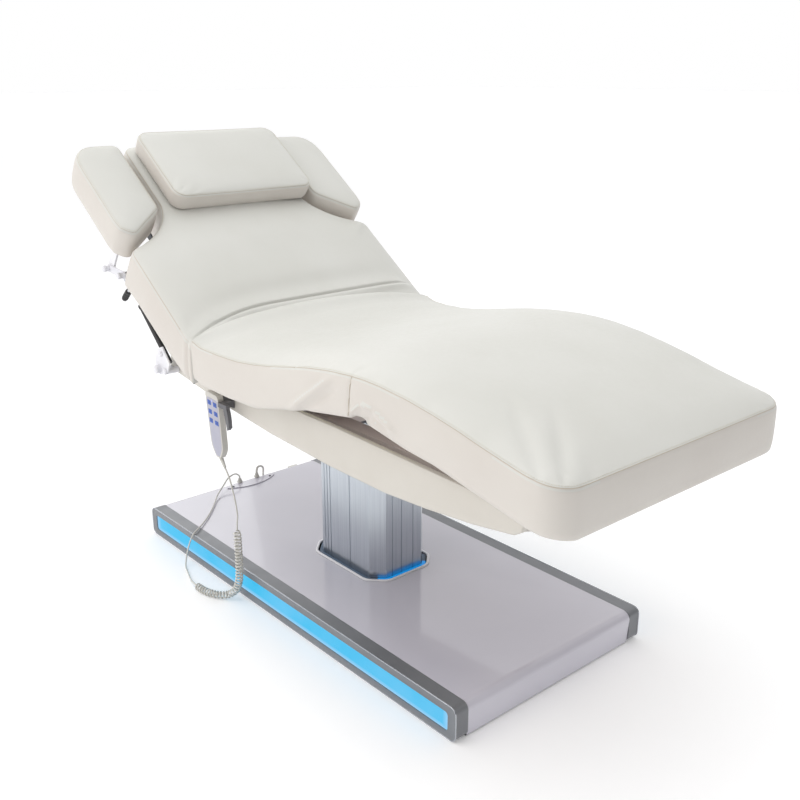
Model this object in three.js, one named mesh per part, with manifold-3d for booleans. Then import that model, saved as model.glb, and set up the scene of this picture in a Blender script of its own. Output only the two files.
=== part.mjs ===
// Facial treatment bed with a lifting column, a tilting back, a knee-break leg section and side wings.
// Millimetres, +Z up. +X points to the foot end, -Y is the near side (the side with the handset).
// The origin is on the floor, under the middle of the base.
import * as THREE from 'three';
import { mergeVertices } from 'three/addons/utils/BufferGeometryUtils.js';
import Module from 'manifold-3d';

const wasm = await Module();
wasm.setup();

// ---------------------------------------------------------------- driving dimensions
const GAP = 0.3;                 // clearance between pieces that touch
const SIDES = [['near', -1], ['far', 1]];
const DEG = Math.PI / 180;

const BASE = { length: 1272, width: 600, height: 81, trim: 35, skin: 4, fold: 20, plate: 8 };
const LED = { length: 1224, height: 44, middle: 40, depth: 6, recess: 2.5 };

const COLUMN = { x: 8, length: 252, width: 176, chamfer: 30, wall: 8, bottom: 8.3, top: 470 };
const STAGE_STEP = 11;           // each stage is this much smaller all round than the one outside it
const COLUMN_GAP = 15;           // opening around the column in the base top

const PAD = {
  bottom: 574, thickness: 112,   // underside and thickness of the seat, thigh and leg pads
  halfAtHead: 374, halfAtFoot: 350, headX: -200, footX: 903,
};
const BOARD = 12;                // plywood under each pad

const THIGH = { x: 40, z: 568, length: 357, rest: 11.2, most: 19.2 };
const LEG = { length: 511, bend: 21.2 };
const BACK = { x: -268, z: 566, rest: 35, most: 60, thickness: 122 };
const SHOULDER = 340;            // distance from the back hinge to the shoulders
const HEAD_END = 730;            // distance from the back hinge to the head end
const HEAD_HALF = 218;           // half width of the head part of the back pad
const NECK = 150;                // distance over which the shoulders narrow to the head part

const SKIRT = { inner: 283, outer: 298, headX: -470, footX: 790 };
const RAIL = { y: 235, size: 40, top: 560, headX: -256, footX: 700 };

// The leg actuator pivots on the seat frame at its foot and pushes a lug under the thigh board.
const ACTUATOR = { footX: 625, footZ: 535, headAlong: 260, headDrop: 30, body: 21, rod: 9, bore: 9.8 };
const PIVOT = 5.5;               // radius of the hinge bars

const CORD = { handset: 4.5, curl: 21, mains: 6.5 };

// ---------------------------------------------------------------- colours
const CREAM = 0xe4e2da;
const LILAC = 0xc9c7d2;
const TRIM_GREY = 0x7d7f86;
const LED_BLUE = 0x4cc4f5;
const STEEL_WHITE = 0xe8e8ec;
const STEEL_DARK = 0x3a3c40;
const ALUMINIUM = 0xb4bac2;
const PLYWOOD = 0xb08d5f;
const CORD_GREY = 0xc9c6bd;
const BLACK = 0x17181a;
const KEY_BLUE = 0x2f6fd0;

// ---------------------------------------------------------------- helpers
const root = new THREE.Group();

function finish(colour, roughness, metalness = 0) {
  return new THREE.MeshStandardMaterial({ color: colour, roughness, metalness });
}

function add(parent, name, geometry, material, place = [0, 0, 0], turn = [0, 0, 0]) {
  const mesh = new THREE.Mesh(geometry, material);
  mesh.name = name;
  mesh.position.set(...place);
  mesh.rotation.set(...turn);
  parent.add(mesh);
  return mesh;
}

function group(parent, x, y, z, turnY = 0) {
  const made = new THREE.Group();
  made.position.set(x, y, z);
  made.rotation.y = turnY;
  parent.add(made);
  return made;
}

function toSolid(geometry) {
  const bare = geometry.clone();
  bare.deleteAttribute('normal');
  bare.deleteAttribute('uv');
  const merged = mergeVertices(bare, 1e-4);
  return new wasm.Manifold(new wasm.Mesh({
    numProp: 3,
    vertProperties: new Float32Array(merged.attributes.position.array),
    triVerts: new Uint32Array(merged.index.array),
  }));
}

function fromSolid(solid) {
  const mesh = solid.getMesh();
  const geometry = new THREE.BufferGeometry();
  geometry.setAttribute('position', new THREE.BufferAttribute(new Float32Array(mesh.vertProperties), 3));
  geometry.setIndex(new THREE.BufferAttribute(new Uint32Array(mesh.triVerts), 1));
  geometry.computeVertexNormals();
  return geometry;
}

function join(...geometries) {
  return fromSolid(geometries.map(toSolid).reduce((whole, piece) => whole.add(piece)));
}

function cut(geometry, ...tools) {
  return fromSolid(tools.map(toSolid).reduce((whole, tool) => whole.subtract(tool), toSolid(geometry)));
}

// The low and high Y of a piece that runs from inner to outer on one side of the bed.
function acrossSide(sign, inner, outer) {
  return [inner * sign, outer * sign].sort((a, b) => a - b);
}

// A box given by its low and high corners.
function block(x0, x1, y0, y1, z0, z1) {
  const geometry = new THREE.BoxGeometry(x1 - x0, y1 - y0, z1 - z0);
  return geometry.translate((x0 + x1) / 2, (y0 + y1) / 2, (z0 + z1) / 2);
}

// A round bar along Y, Z or any direction.
function barY(x, z, radius, y0, y1, sides = 20) {
  return new THREE.CylinderGeometry(radius, radius, y1 - y0, sides).translate(x, (y0 + y1) / 2, z);
}

function barZ(x, y, radius, z0, z1, sides = 20) {
  const geometry = new THREE.CylinderGeometry(radius, radius, z1 - z0, sides);
  return geometry.rotateX(Math.PI / 2).translate(x, y, (z0 + z1) / 2);
}

function barX(y, z, radius, x0, x1, sides = 20) {
  const geometry = new THREE.CylinderGeometry(radius, radius, x1 - x0, sides);
  return geometry.rotateZ(Math.PI / 2).translate((x0 + x1) / 2, y, z);
}

function roundedRectangle(width, height, radius, cx = 0, cy = 0) {
  const shape = new THREE.Shape();
  const [w, h] = [width / 2 - radius, height / 2 - radius];
  shape.absarc(cx + w, cy - h, radius, -Math.PI / 2, 0);
  shape.absarc(cx + w, cy + h, radius, 0, Math.PI / 2);
  shape.absarc(cx - w, cy + h, radius, Math.PI / 2, Math.PI);
  shape.absarc(cx - w, cy - h, radius, Math.PI, Math.PI * 1.5);
  shape.closePath();
  return shape;
}

function outline(points) {
  return new THREE.Shape(points.map(([x, y]) => new THREE.Vector2(x, y)));
}

// A shape drawn in X and Y, raised from z0 to z1.
function slab(shape, z0, z1, curveSegments = 5) {
  const geometry = new THREE.ExtrudeGeometry(shape, { depth: z1 - z0, bevelEnabled: false, curveSegments });
  return geometry.translate(0, 0, z0);
}

// A shape drawn in X and Z, carried along Y from y0 to y1.
function board(shape, y0, y1, curveSegments = 5) {
  const geometry = new THREE.ExtrudeGeometry(shape, { depth: y1 - y0, bevelEnabled: false, curveSegments });
  return geometry.rotateX(Math.PI / 2).translate(0, y1, 0);
}

// A round tube along a smooth route.
function cordTube(points, diameter, sides, steps) {
  const curve = new THREE.CatmullRomCurve3(points.map((p) => new THREE.Vector3(...p)), false, 'centripetal');
  const section = new THREE.Shape();
  section.absarc(0, 0, diameter / 2, 0, Math.PI * 2);
  return new THREE.ExtrudeGeometry(section, {
    steps, extrudePath: curve, bevelEnabled: false, curveSegments: sides / 2,
  });
}

const leather = finish(CREAM, 0.5);
const whitePaint = finish(STEEL_WHITE, 0.4, 0.2);
const darkPaint = finish(STEEL_DARK, 0.5, 0.4);

// ---------------------------------------------------------------- base
const halfLength = BASE.length / 2;
const coverHalf = BASE.width / 2 - BASE.trim - GAP;

const plateHalf = halfLength - 7;
add(root, 'base_plate', block(-plateHalf, plateHalf, -coverHalf, coverHalf, 0, BASE.plate), darkPaint);

function columnOutline(inset) {
  const [l, w] = [COLUMN.length / 2 - inset, COLUMN.width / 2 - inset];
  const c = COLUMN.chamfer - inset * 0.6;
  return [[l, w - c], [l - c, w], [c - l, w], [-l, w - c], [-l, c - w], [c - l, -w], [l - c, -w], [l, c - w]];
}

function coverShape() {
  const [outer, inner] = [BASE.fold, BASE.fold - BASE.skin];
  const low = 3;
  const shape = new THREE.Shape();
  shape.moveTo(halfLength, low);
  shape.absarc(halfLength - outer, BASE.height - outer, outer, 0, Math.PI / 2);
  shape.absarc(outer - halfLength, BASE.height - outer, outer, Math.PI / 2, Math.PI);
  shape.lineTo(-halfLength, low);
  shape.lineTo(BASE.skin - halfLength, low);
  shape.absarc(outer - halfLength, BASE.height - outer, inner, Math.PI, Math.PI / 2, true);
  shape.absarc(halfLength - outer, BASE.height - outer, inner, Math.PI / 2, 0, true);
  shape.lineTo(halfLength - BASE.skin, low);
  shape.closePath();
  return shape;
}

const columnHole = slab(outline(columnOutline(-COLUMN_GAP)), 40, 120).translate(COLUMN.x, 0, 0);
add(root, 'base_cover', cut(board(coverShape(), -coverHalf, coverHalf, 6), columnHole), finish(LILAC, 0.2));

// Each trim is a bar with a shallow pocket in its outer face for the light panel.
function trimGeometry(sign) {
  const half = BASE.width / 2;
  const bar = roundedRectangle(BASE.length, BASE.height - 2, 16, 0, (BASE.height + 2) / 2);
  const pocket = roundedRectangle(LED.length + 2 * GAP, LED.height + 2 * GAP, 8, 0, LED.middle);
  return cut(board(bar, ...acrossSide(sign, half - BASE.trim, half), 6),
    board(pocket, ...acrossSide(sign, half - LED.recess - LED.depth - GAP, half + 5), 4));
}

for (const [side, sign] of SIDES) {
  add(root, `side_trim_${side}`, trimGeometry(sign), finish(TRIM_GREY, 0.45, 0.5));
  const panel = roundedRectangle(LED.length, LED.height, 7.7, 0, LED.middle);
  const depth = acrossSide(sign, BASE.width / 2 - LED.recess - LED.depth, BASE.width / 2 - LED.recess);
  add(root, `light_panel_${side}`, board(panel, ...depth, 4), finish(LED_BLUE, 0.3));
}

add(root, 'control_box', block(-430, -210, -80, 80, BASE.plate + GAP, 60), finish(STEEL_DARK, 0.6));

const ringOuter = outline(columnOutline(-COLUMN_GAP - 5));
ringOuter.holes.push(outline(columnOutline(-COLUMN_GAP + 1)));
add(root, 'column_trim_ring', slab(ringOuter, BASE.height + GAP, BASE.height + 3), finish(STEEL_WHITE, 0.3),
  [COLUMN.x, 0, 0]);

// Cable plate with its two glands at the head end of the base top.
const CABLES = { x: -602, y: 18, length: 170, width: 56, thick: 2.5 };
const GLANDS = { handset: [-616, -14], mains: [-617, 48] };
const plateTop = BASE.height + GAP + CABLES.thick;

function lensOutline() {
  const reach = CABLES.length / 2;
  const side = CABLES.width / 2;
  const shape = new THREE.Shape();
  shape.moveTo(0, -reach);
  shape.quadraticCurveTo(side * 2, 0, 0, reach);
  shape.quadraticCurveTo(-side * 0.9, 0, 0, -reach);
  return shape;
}

add(root, 'cable_plate', slab(lensOutline(), BASE.height + GAP, plateTop, 10), finish(LILAC, 0.25),
  [CABLES.x, CABLES.y, 0]);
for (const [name, [x, y]] of Object.entries(GLANDS)) {
  const collar = barZ(0, 0, 8, plateTop + GAP, plateTop + 5);
  const neck = new THREE.CylinderGeometry(4.5, 6.5, 9, 20).rotateX(Math.PI / 2).translate(0, 0, plateTop + 9);
  add(root, `${name}_gland`, join(collar, neck), finish(STEEL_WHITE, 0.4), [x, y, 0]);
}
const glandTop = plateTop + 13.5;

// ---------------------------------------------------------------- lift column
// Fine grooves run up the long faces and the end faces of each stage.
function stageOutline(inset) {
  const corners = columnOutline(inset);
  const long = COLUMN.length / 2 - inset;
  const wide = COLUMN.width / 2 - inset;
  const grooves = { long: [-84, -72, -60, 20], wide: [-38, -8, 30] };
  const depth = 1.6;
  const half = 1.5;
  const run = [];
  const notch = (list, place) => list.forEach((at) => run.push(
    place(at - half, 0), place(at - half, depth), place(at + half, depth), place(at + half, 0)));
  const up = (list) => [...list].sort((a, b) => a - b);
  run.push(corners[0], corners[1]);
  notch(up(grooves.long.map((v) => -v)), (v, d) => [-v, wide - d]);
  run.push(corners[2], corners[3]);
  notch(up(grooves.wide.map((v) => -v)), (v, d) => [d - long, -v]);
  run.push(corners[4], corners[5]);
  notch(up(grooves.long), (v, d) => [v, d - wide]);
  run.push(corners[6], corners[7]);
  notch(up(grooves.wide), (v, d) => [long - d, v]);
  return outline(run);
}

function stage(index, z0, z1) {
  const inset = STAGE_STEP * index;
  const shape = stageOutline(inset);
  shape.holes.push(outline(columnOutline(inset + COLUMN.wall)));
  return slab(shape, z0, z1);
}

const aluminium = finish(ALUMINIUM, 0.35, 0.9);
add(root, 'column_outer', stage(0, COLUMN.bottom, COLUMN.top), aluminium, [COLUMN.x, 0, 0]);
add(root, 'column_middle', stage(1, COLUMN.bottom + 12, COLUMN.top + 12), aluminium, [COLUMN.x, 0, 0]);

const headPlateTop = RAIL.top - RAIL.size - GAP;
const headPlateBottom = headPlateTop - 12;
add(root, 'column_inner', stage(2, COLUMN.bottom + 24, headPlateBottom - GAP), aluminium, [COLUMN.x, 0, 0]);
add(root, 'column_head_plate', slab(roundedRectangle(250, 516, 18), headPlateBottom, headPlateTop),
  darkPaint, [COLUMN.x, 0, 0]);

// ---------------------------------------------------------------- seat frame
const railLow = RAIL.top - RAIL.size;
const crossBars = [-135, 118, 645];
const frameBits = [];
for (const [, sign] of SIDES) {
  const [y0, y1] = [sign * RAIL.y - RAIL.size / 2, sign * RAIL.y + RAIL.size / 2];
  frameBits.push(block(RAIL.headX, RAIL.footX, y0, y1, railLow, RAIL.top));
  const [lug0, lug1] = sign < 0 ? [y0 + 14, y1] : [y0, y1 - 14];
  frameBits.push(block(BACK.x - 10, RAIL.headX + 30, lug0, lug1, railLow + 10, BACK.z + 6.5));
  frameBits.push(barY(BACK.x, BACK.z, 5.7, sign < 0 ? lug1 - 5 : lug0 - 18, sign < 0 ? lug1 + 18 : lug0 + 5));
}
for (const x of crossBars) {
  frameBits.push(block(x, x + 30, -RAIL.y, RAIL.y, railLow, railLow + 30));
}
// Ear for the foot end of the leg actuator.
frameBits.push(block(ACTUATOR.footX - 9, 648, -34, -26, ACTUATOR.footZ - 9, ACTUATOR.footZ + 9));
frameBits.push(barY(ACTUATOR.footX, ACTUATOR.footZ, 5.7, -30, 12));
add(root, 'seat_frame', join(...frameBits), darkPaint);

function padHalf(x) {
  const share = (x - PAD.headX) / (PAD.footX - PAD.headX);
  return PAD.halfAtHead + (PAD.halfAtFoot - PAD.halfAtHead) * share;
}

const wood = finish(PLYWOOD, 0.7);
const padTop = PAD.bottom + PAD.thickness;
add(root, 'seat_board', block(-224, THIGH.x - 9, -276, 276, RAIL.top + GAP, PAD.bottom - GAP), wood);

const foldSlant = Math.tan((THIGH.most / 2 + 1) * DEG) * PAD.thickness;
const seatHeadFoot = -222;
const seatShape = outline([
  [seatHeadFoot, PAD.bottom], [THIGH.x - 3, PAD.bottom], [THIGH.x - 3 - foldSlant, padTop],
  [PAD.headX, padTop],
]);
add(root, 'seat_pad', board(seatShape, -padHalf(-80), padHalf(-80)), leather);

// Upholstered side boards and foot board of the upper frame.
function skirtShape() {
  return outline([
    [SKIRT.headX, 566], [SKIRT.headX, 546], [-430, 537], [-200, 505], [0, 487], [230, 476], [415, 475],
    [536, 483], [663, 496], [765, 512], [784, 524], [SKIRT.footX, 545], [SKIRT.footX, 558],
    [640, 563], [250, 572], [-455, 572],
  ]);
}
for (const [side, sign] of SIDES) {
  add(root, `side_board_${side}`, board(skirtShape(), ...acrossSide(sign, SKIRT.inner, SKIRT.outer)), leather);
}
const footBoardX = SKIRT.footX - 20;
const footBoardHalf = SKIRT.inner - GAP;
add(root, 'foot_board', block(footBoardX, footBoardX + 14, -footBoardHalf, footBoardHalf, 516, 546), leather);

// Anchor plates that hold the lower ends of the back struts.
const ANCHOR = { y: 330, thick: 4 };
function anchorPlate(sign) {
  const face = outline([[-473, 596], [-428, 612], [-395, 574], [-408, 546], [-452, 532], [-470, 556]]);
  const plate = board(face, ...acrossSide(sign, ANCHOR.y, ANCHOR.y + ANCHOR.thick));
  const spacer = acrossSide(sign, SKIRT.outer + GAP, ANCHOR.y + 1);
  const spacers = [[-418, 548, 8], [-450, 545, 6]].map(([x, z, radius]) => barY(x, z, radius, ...spacer));
  const cap = barY(-450, 549, 11, ...acrossSide(sign, ANCHOR.y + 1, ANCHOR.y + ANCHOR.thick + 9));
  return join(plate, ...spacers, cap);
}
for (const [side, sign] of SIDES) {
  add(root, `anchor_plate_${side}`, anchorPlate(sign), whitePaint);
}

// ---------------------------------------------------------------- thigh and leg sections
const thigh = group(root, THIGH.x, 0, THIGH.z, -THIGH.rest * DEG);
const padLift = PAD.bottom - THIGH.z;
const padHigh = padLift + PAD.thickness;
const thighBoard = block(7, THIGH.length - 9, -276, 276, padLift - BOARD - GAP, padLift - GAP);
const thighLug = block(ACTUATOR.headAlong - 10, ACTUATOR.headAlong + 22, -34, -26,
  -ACTUATOR.headDrop - 9, padLift - 3);
const hingeBits = () => [barY(0, 0, PIVOT, -200, 200), block(0, 12, -200, 200, -5, 5)];
add(thigh, 'thigh_board', join(thighBoard, ...hingeBits(), thighLug), wood);
const thighHalf = padHalf(THIGH.x + THIGH.length / 2);
const thighShape = outline([
  [3, padLift], [THIGH.length - 2, padLift], [THIGH.length - 2, padHigh], [3 + foldSlant, padHigh],
]);
add(thigh, 'thigh_pad', board(thighShape, -thighHalf, thighHalf), leather);

const leg = group(thigh, THIGH.length, 0, 0, LEG.bend * DEG);
const legBoard = block(9, LEG.length - 30, -276, 276, padLift - BOARD - GAP, padLift - GAP);
add(leg, 'leg_board', join(legBoard, ...hingeBits()), wood);

function legShape() {
  const corner = 58;
  const [start, end] = [thighHalf - 4, PAD.halfAtFoot];
  const shape = new THREE.Shape();
  shape.moveTo(2, -start);
  shape.lineTo(LEG.length - corner, -end);
  shape.absarc(LEG.length - corner, corner - end, corner, -Math.PI / 2, 0);
  shape.absarc(LEG.length - corner, end - corner, corner, 0, Math.PI / 2);
  shape.lineTo(2, start);
  shape.closePath();
  return shape;
}
add(leg, 'leg_pad', slab(legShape(), padLift, padHigh, 5), leather);

// Leg actuator: its body hangs from the seat frame and its rod pushes the thigh board up.
const lug = new THREE.Vector3(ACTUATOR.headAlong, 0, -ACTUATOR.headDrop);
thigh.updateMatrixWorld(true);
thigh.localToWorld(lug);
const [actuatorRun, actuatorRise] = [ACTUATOR.footX - lug.x, lug.z - ACTUATOR.footZ];
const actuatorReach = Math.hypot(actuatorRun, actuatorRise);
const actuator = group(root, ACTUATOR.footX, 0, ACTUATOR.footZ, Math.atan2(actuatorRise, actuatorRun));
const bodyEnd = -190;
const actuatorBody = cut(join(
  cut(barX(0, 0, ACTUATOR.body, bodyEnd, -14, 24), block(-30, 20, -40, -14, -30, 30)),
  cut(block(-30, 9, -12, 12, -9, 9), barY(0, 0, PIVOT + 0.5, -40, 40))),
barX(0, 0, ACTUATOR.bore, bodyEnd - 5, -100, 24));
add(actuator, 'leg_actuator_body', actuatorBody, finish(STEEL_DARK, 0.5, 0.3));
const actuatorRod = barX(0, 0, ACTUATOR.rod, -actuatorReach, -150, 20);
add(actuator, 'leg_actuator_rod', join(actuatorRod, barY(-actuatorReach, 0, ACTUATOR.rod, -25.5, 16)),
  finish(ALUMINIUM, 0.3, 0.9));

// ---------------------------------------------------------------- back section
const back = group(root, BACK.x, 0, BACK.z, BACK.rest * DEG);
const underPad = 8;
const backTop = underPad + BACK.thickness;

function backOutline() {
  const half = PAD.halfAtHead;
  const shape = new THREE.Shape();
  shape.moveTo(-16, -half);
  shape.lineTo(-16, half);
  shape.lineTo(24 - SHOULDER, half);
  shape.quadraticCurveTo(-SHOULDER, half, -SHOULDER - 8, half - 30);
  shape.quadraticCurveTo(-SHOULDER - 60, HEAD_HALF + 17, -SHOULDER - NECK, HEAD_HALF);
  shape.lineTo(30 - HEAD_END, HEAD_HALF);
  shape.quadraticCurveTo(-HEAD_END, HEAD_HALF, -HEAD_END, HEAD_HALF - 30);
  shape.lineTo(-HEAD_END, 30 - HEAD_HALF);
  shape.quadraticCurveTo(-HEAD_END, -HEAD_HALF, 30 - HEAD_END, -HEAD_HALF);
  shape.lineTo(-SHOULDER - NECK, -HEAD_HALF);
  shape.quadraticCurveTo(-SHOULDER - 60, -HEAD_HALF - 17, -SHOULDER - 8, 30 - half);
  shape.quadraticCurveTo(-SHOULDER, -half, 24 - SHOULDER, -half);
  shape.closePath();
  return shape;
}
// The foot end of the back pad slants so that it clears the seat pad when the back is up.
const slant = outline([[-16, underPad - 1], [60, underPad - 1], [60, backTop + 9], [-120, backTop + 9]]);
const slantTool = board(slant, -400, 400);
// A groove under each side takes the strut and the anchor plate when the back is flat.
const strutGrooves = SIDES.map(([, sign]) => {
  return block(-332, -100, ...acrossSide(sign, 299, 340), underPad - 1, 56);
});
const backPad = cut(slab(backOutline(), underPad, backTop, 5), slantTool, ...strutGrooves);
add(back, 'back_pad', backPad, leather);

const STRUT = { y: 320, headX: -400, headZ: -45, turn: 7.9, tubeStart: 92, tubeEnd: 277.7, rodEnd: 170 };
const WING_LINK = { x: -378, z: -8, wingX: -449, wingZ: -49 };
const LEVER = { x: -336, z: -6, y: 345 };
const backBits = [block(-700, -20, -190, 190, underPad - BOARD - GAP, underPad - GAP)];
backBits.push(block(-330, -60, -276, 276, underPad - BOARD - GAP, underPad - GAP));
for (const [, sign] of SIDES) {
  const [y0, y1] = [sign * 200 - 10, sign * 200 + 10];
  backBits.push(block(-690, -6, y0, y1, -24, -3));
  backBits.push(barY(0, 0, 13, y0, y1), block(-40, 0, y0, y1, -12, 6));
}
backBits.push(block(WING_LINK.x - 12, WING_LINK.x + 12, -338, 338, -20, -4 + underPad - BOARD));
backBits.push(block(STRUT.headX - 10, STRUT.headX + 10, -311, 311, STRUT.headZ - 10, STRUT.headZ + 10));
backBits.push(block(STRUT.headX - 6, STRUT.headX + 6, -210, 210, STRUT.headZ, -20));
backBits.push(block(LEVER.x - 9, LEVER.x + 9, -338, 338, -16, -5));
add(back, 'back_frame', cut(join(...backBits), barY(0, 0, PIVOT + 0.5, -260, 260)), darkPaint);

const PILLOW = { x: -583, y: 18, length: 266, width: 436, low: 0.6, thick: 54, corner: 34 };
const pillowShape = roundedRectangle(PILLOW.length, PILLOW.width, PILLOW.corner, PILLOW.x, PILLOW.y);
add(back, 'pillow', slab(pillowShape, backTop + PILLOW.low, backTop + PILLOW.low + PILLOW.thick, 5), leather);

// Struts under the back: the rod hangs from the back frame, the black tube slides on it.
for (const [side, sign] of SIDES) {
  const strut = group(back, STRUT.headX, sign * STRUT.y, STRUT.headZ, STRUT.turn * DEG);
  const eye = barY(0, 0, 9, -7, 7);
  add(strut, `strut_rod_${side}`, join(eye, barX(0, 0, 4.5, 5, STRUT.rodEnd, 16)), finish(ALUMINIUM, 0.2, 1));
  const tube = barX(0, 0, 7.5, STRUT.tubeStart, STRUT.tubeEnd, 20);
  const bore = barX(0, 0, 5.2, STRUT.tubeStart - 5, STRUT.tubeStart + 135, 20);
  add(strut, `strut_tube_${side}`, cut(tube, bore), finish(BLACK, 0.4));
}

// Release handles under the shoulders.
for (const [side, sign] of SIDES) {
  const handle = group(back, LEVER.x, sign * LEVER.y, LEVER.z, 14 * DEG);
  const hub = barY(0, 0, 7, -6, 6);
  const neck = barZ(0, 0, 3.6, -28, -3, 16);
  const grip = barZ(0, 0, 7.5, -66, -26, 20);
  add(handle, `release_handle_${side}`, join(hub, neck, grip), finish(BLACK, 0.5));
}

// Side wings beside the head.
const WING = { head: -706, inner: 250, outer: 388, low: 58, high: 152 };
function wingOutline(sign) {
  const shape = new THREE.Shape();
  shape.moveTo(-440, 262);
  shape.lineTo(-372, 346);
  shape.quadraticCurveTo(-362, WING.outer - 26, -392, WING.outer - 4);
  shape.lineTo(-420, WING.outer);
  shape.lineTo(WING.head + 86, WING.outer);
  shape.quadraticCurveTo(WING.head, WING.outer, WING.head, WING.outer - 74);
  shape.lineTo(WING.head, WING.inner + 26);
  shape.quadraticCurveTo(WING.head, WING.inner, WING.head + 26, WING.inner);
  shape.lineTo(-466, WING.inner);
  shape.quadraticCurveTo(-450, WING.inner, -440, 262);
  return outline(shape.getPoints(5).slice(0, -1).map((p) => [p.x, p.y * sign]));
}
for (const [side, sign] of SIDES) {
  const span = (inner, outer) => acrossSide(sign, inner, outer);
  const holder = group(back, 0, 0, 0);
  add(holder, `wing_pad_${side}`, slab(wingOutline(sign), WING.low, WING.high), leather);
  const [p0, p1] = span(341, 346);
  const flange = block(-570, -430, ...span(300, 346), WING.low - 5 - GAP, WING.low - GAP);
  const arm = block(WING_LINK.wingX - 14, WING_LINK.wingX + 14, p0, p1, WING_LINK.wingZ, WING.low - 3);
  const eye = barY(WING_LINK.wingX, WING_LINK.wingZ, 14, p0, p1);
  const bore = barY(WING_LINK.wingX, WING_LINK.wingZ, 5.6, ...span(330, 360));
  add(holder, `wing_bracket_${side}`, cut(join(flange, arm, eye), bore), whitePaint);
  const [l0, l1] = span(346.5, 350.5);
  const run = Math.hypot(WING_LINK.x - WING_LINK.wingX, WING_LINK.z - WING_LINK.wingZ);
  const slope = Math.atan2(WING_LINK.z - WING_LINK.wingZ, WING_LINK.x - WING_LINK.wingX);
  const bar = block(0, run, l0, l1, -10, 10).rotateY(-slope).translate(WING_LINK.wingX, 0, WING_LINK.wingZ);
  const ends = [[WING_LINK.wingX, WING_LINK.wingZ], [WING_LINK.x, WING_LINK.z]];
  const eyes = ends.map(([x, z]) => barY(x, z, 11, l0, l1));
  const caps = ends.map(([x, z]) => barY(x, z, 8, ...span(350, 360)));
  const pin = barY(...ends[0], 5, ...span(338, 351));
  add(holder, `wing_link_${side}`, join(bar, ...eyes, ...caps, pin), whitePaint);
}

// ---------------------------------------------------------------- handset and its hook
const HANDSET = { x: -191, y: -327, top: 546, width: 62, length: 172, depth: 15 };
function handsetShape() {
  const [w, l] = [HANDSET.width / 2, HANDSET.length];
  const shape = new THREE.Shape();
  shape.moveTo(12 - w, 0);
  shape.lineTo(w - 12, 0);
  shape.quadraticCurveTo(w, 0, w, -12);
  shape.lineTo(w - 2, 40 - l);
  shape.quadraticCurveTo(w - 3, 20 - l, 8, -l);
  shape.lineTo(-8, -l);
  shape.quadraticCurveTo(3 - w, 20 - l, 2 - w, 40 - l);
  shape.lineTo(-w, -12);
  shape.quadraticCurveTo(-w, 0, 12 - w, 0);
  return shape;
}
const handset = group(root, HANDSET.x, HANDSET.y, HANDSET.top);
handset.rotation.set(4 * DEG, 1.5 * DEG, -2 * DEG);
const shell = board(handsetShape(), -HANDSET.depth / 2, HANDSET.depth / 2, 5);
const KEY = { width: 16, height: 12, travel: 1, rows: [-27, -51, -75], columns: [-13.5, 13.5] };
const keyFace = -HANDSET.depth / 2;
const pockets = [];
for (const z of KEY.rows) {
  for (const x of KEY.columns) {
    pockets.push(block(x - KEY.width / 2 - 0.4, x + KEY.width / 2 + 0.4, keyFace - 1, keyFace + 4,
      z - KEY.height / 2 - 0.4, z + KEY.height / 2 + 0.4));
  }
}
add(handset, 'handset_shell', cut(shell, ...pockets), finish(CORD_GREY, 0.5));
KEY.rows.forEach((z, row) => KEY.columns.forEach((x, column) => {
  const key = block(x - KEY.width / 2, x + KEY.width / 2, keyFace - 0.8, keyFace + 2.6,
    z - KEY.height / 2, z + KEY.height / 2);
  add(handset, `key_${row + 1}_${column === 0 ? 'left' : 'right'}`, key, finish(KEY_BLUE, 0.4));
}));
const BOOT = { length: 26, lean: 34, top: 5.2, tip: 3.4 };
const bootTop = -HANDSET.length - GAP - BOOT.top * Math.sin(BOOT.lean * DEG);
const boot = new THREE.CylinderGeometry(BOOT.top, BOOT.tip, BOOT.length, 16).rotateX(Math.PI / 2)
  .translate(0, 0, -BOOT.length / 2).rotateY(-BOOT.lean * DEG).translate(0, 0, bootTop);
add(handset, 'handset_boot', boot, finish(CORD_GREY, 0.6));

// Grey plastic hook on the side board: a back strap, an arm, a bar along the bed and a curved prong.
const hookStrap = block(-192, -146, -302, GAP * -1 - SKIRT.outer, 512, 540);
const hookArm = block(-156, -143, -334, -300, 518, 532);
const hookBar = block(-156, -118, -338, -328, 520, 532);
function prong(x) {
  const shape = new THREE.Shape();
  shape.moveTo(x, 532);
  shape.quadraticCurveTo(x + 13, 520, x + 13, 478);
  shape.lineTo(x + 5, 470);
  shape.quadraticCurveTo(x - 3, 500, x - 9, 518);
  shape.closePath();
  return board(shape, -338, -328, 6);
}
add(root, 'handset_hook', join(hookStrap, hookArm, hookBar, prong(-124)), finish(STEEL_DARK, 0.5));

// ---------------------------------------------------------------- cords
const handsetRoute = [
  [-616, -14, glandTop + GAP], [-616, -14, 103], [-620, -24, 113], [-616, -52, 110], [-596, -84, 99],
  [-566, -122, 90], [-520, -162, 86.5], [-470, -208, 86], [-430, -252, 86], [-404, -284, 87],
  [-393, -304, 82], [-392, -315, 64], [-395, -322, 40], [-392, -330, 16], [-378, -340, 5],
  [-345, -352, 3.2], [-305, -366, 4.5], [-275, -373, 8.5], [-256, -376, 11],
];
const curlRoute = [
  [-255.6, -376, 11], [-235, -376, 11], [-205, -371, 11], [-176, -358, 11.5], [-155, -342, 16],
  [-138, -332, 30], [-125, -328, 56], [-119, -327, 92], [-118, -327, 137], [-119, -327, 206],
];
const upperRoute = [
  [-119, -327, 206.4], [-117, -327, 222], [-115, -326, 248], [-122, -325, 276],
  [-137, -322, 303], [-155, -318, 327],
];
function belowBoot(distance) {
  const along = distance + BOOT.length;
  const tip = new THREE.Vector3(along * Math.sin(BOOT.lean * DEG), 0, bootTop - along * Math.cos(BOOT.lean * DEG));
  return handset.localToWorld(tip);
}
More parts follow.
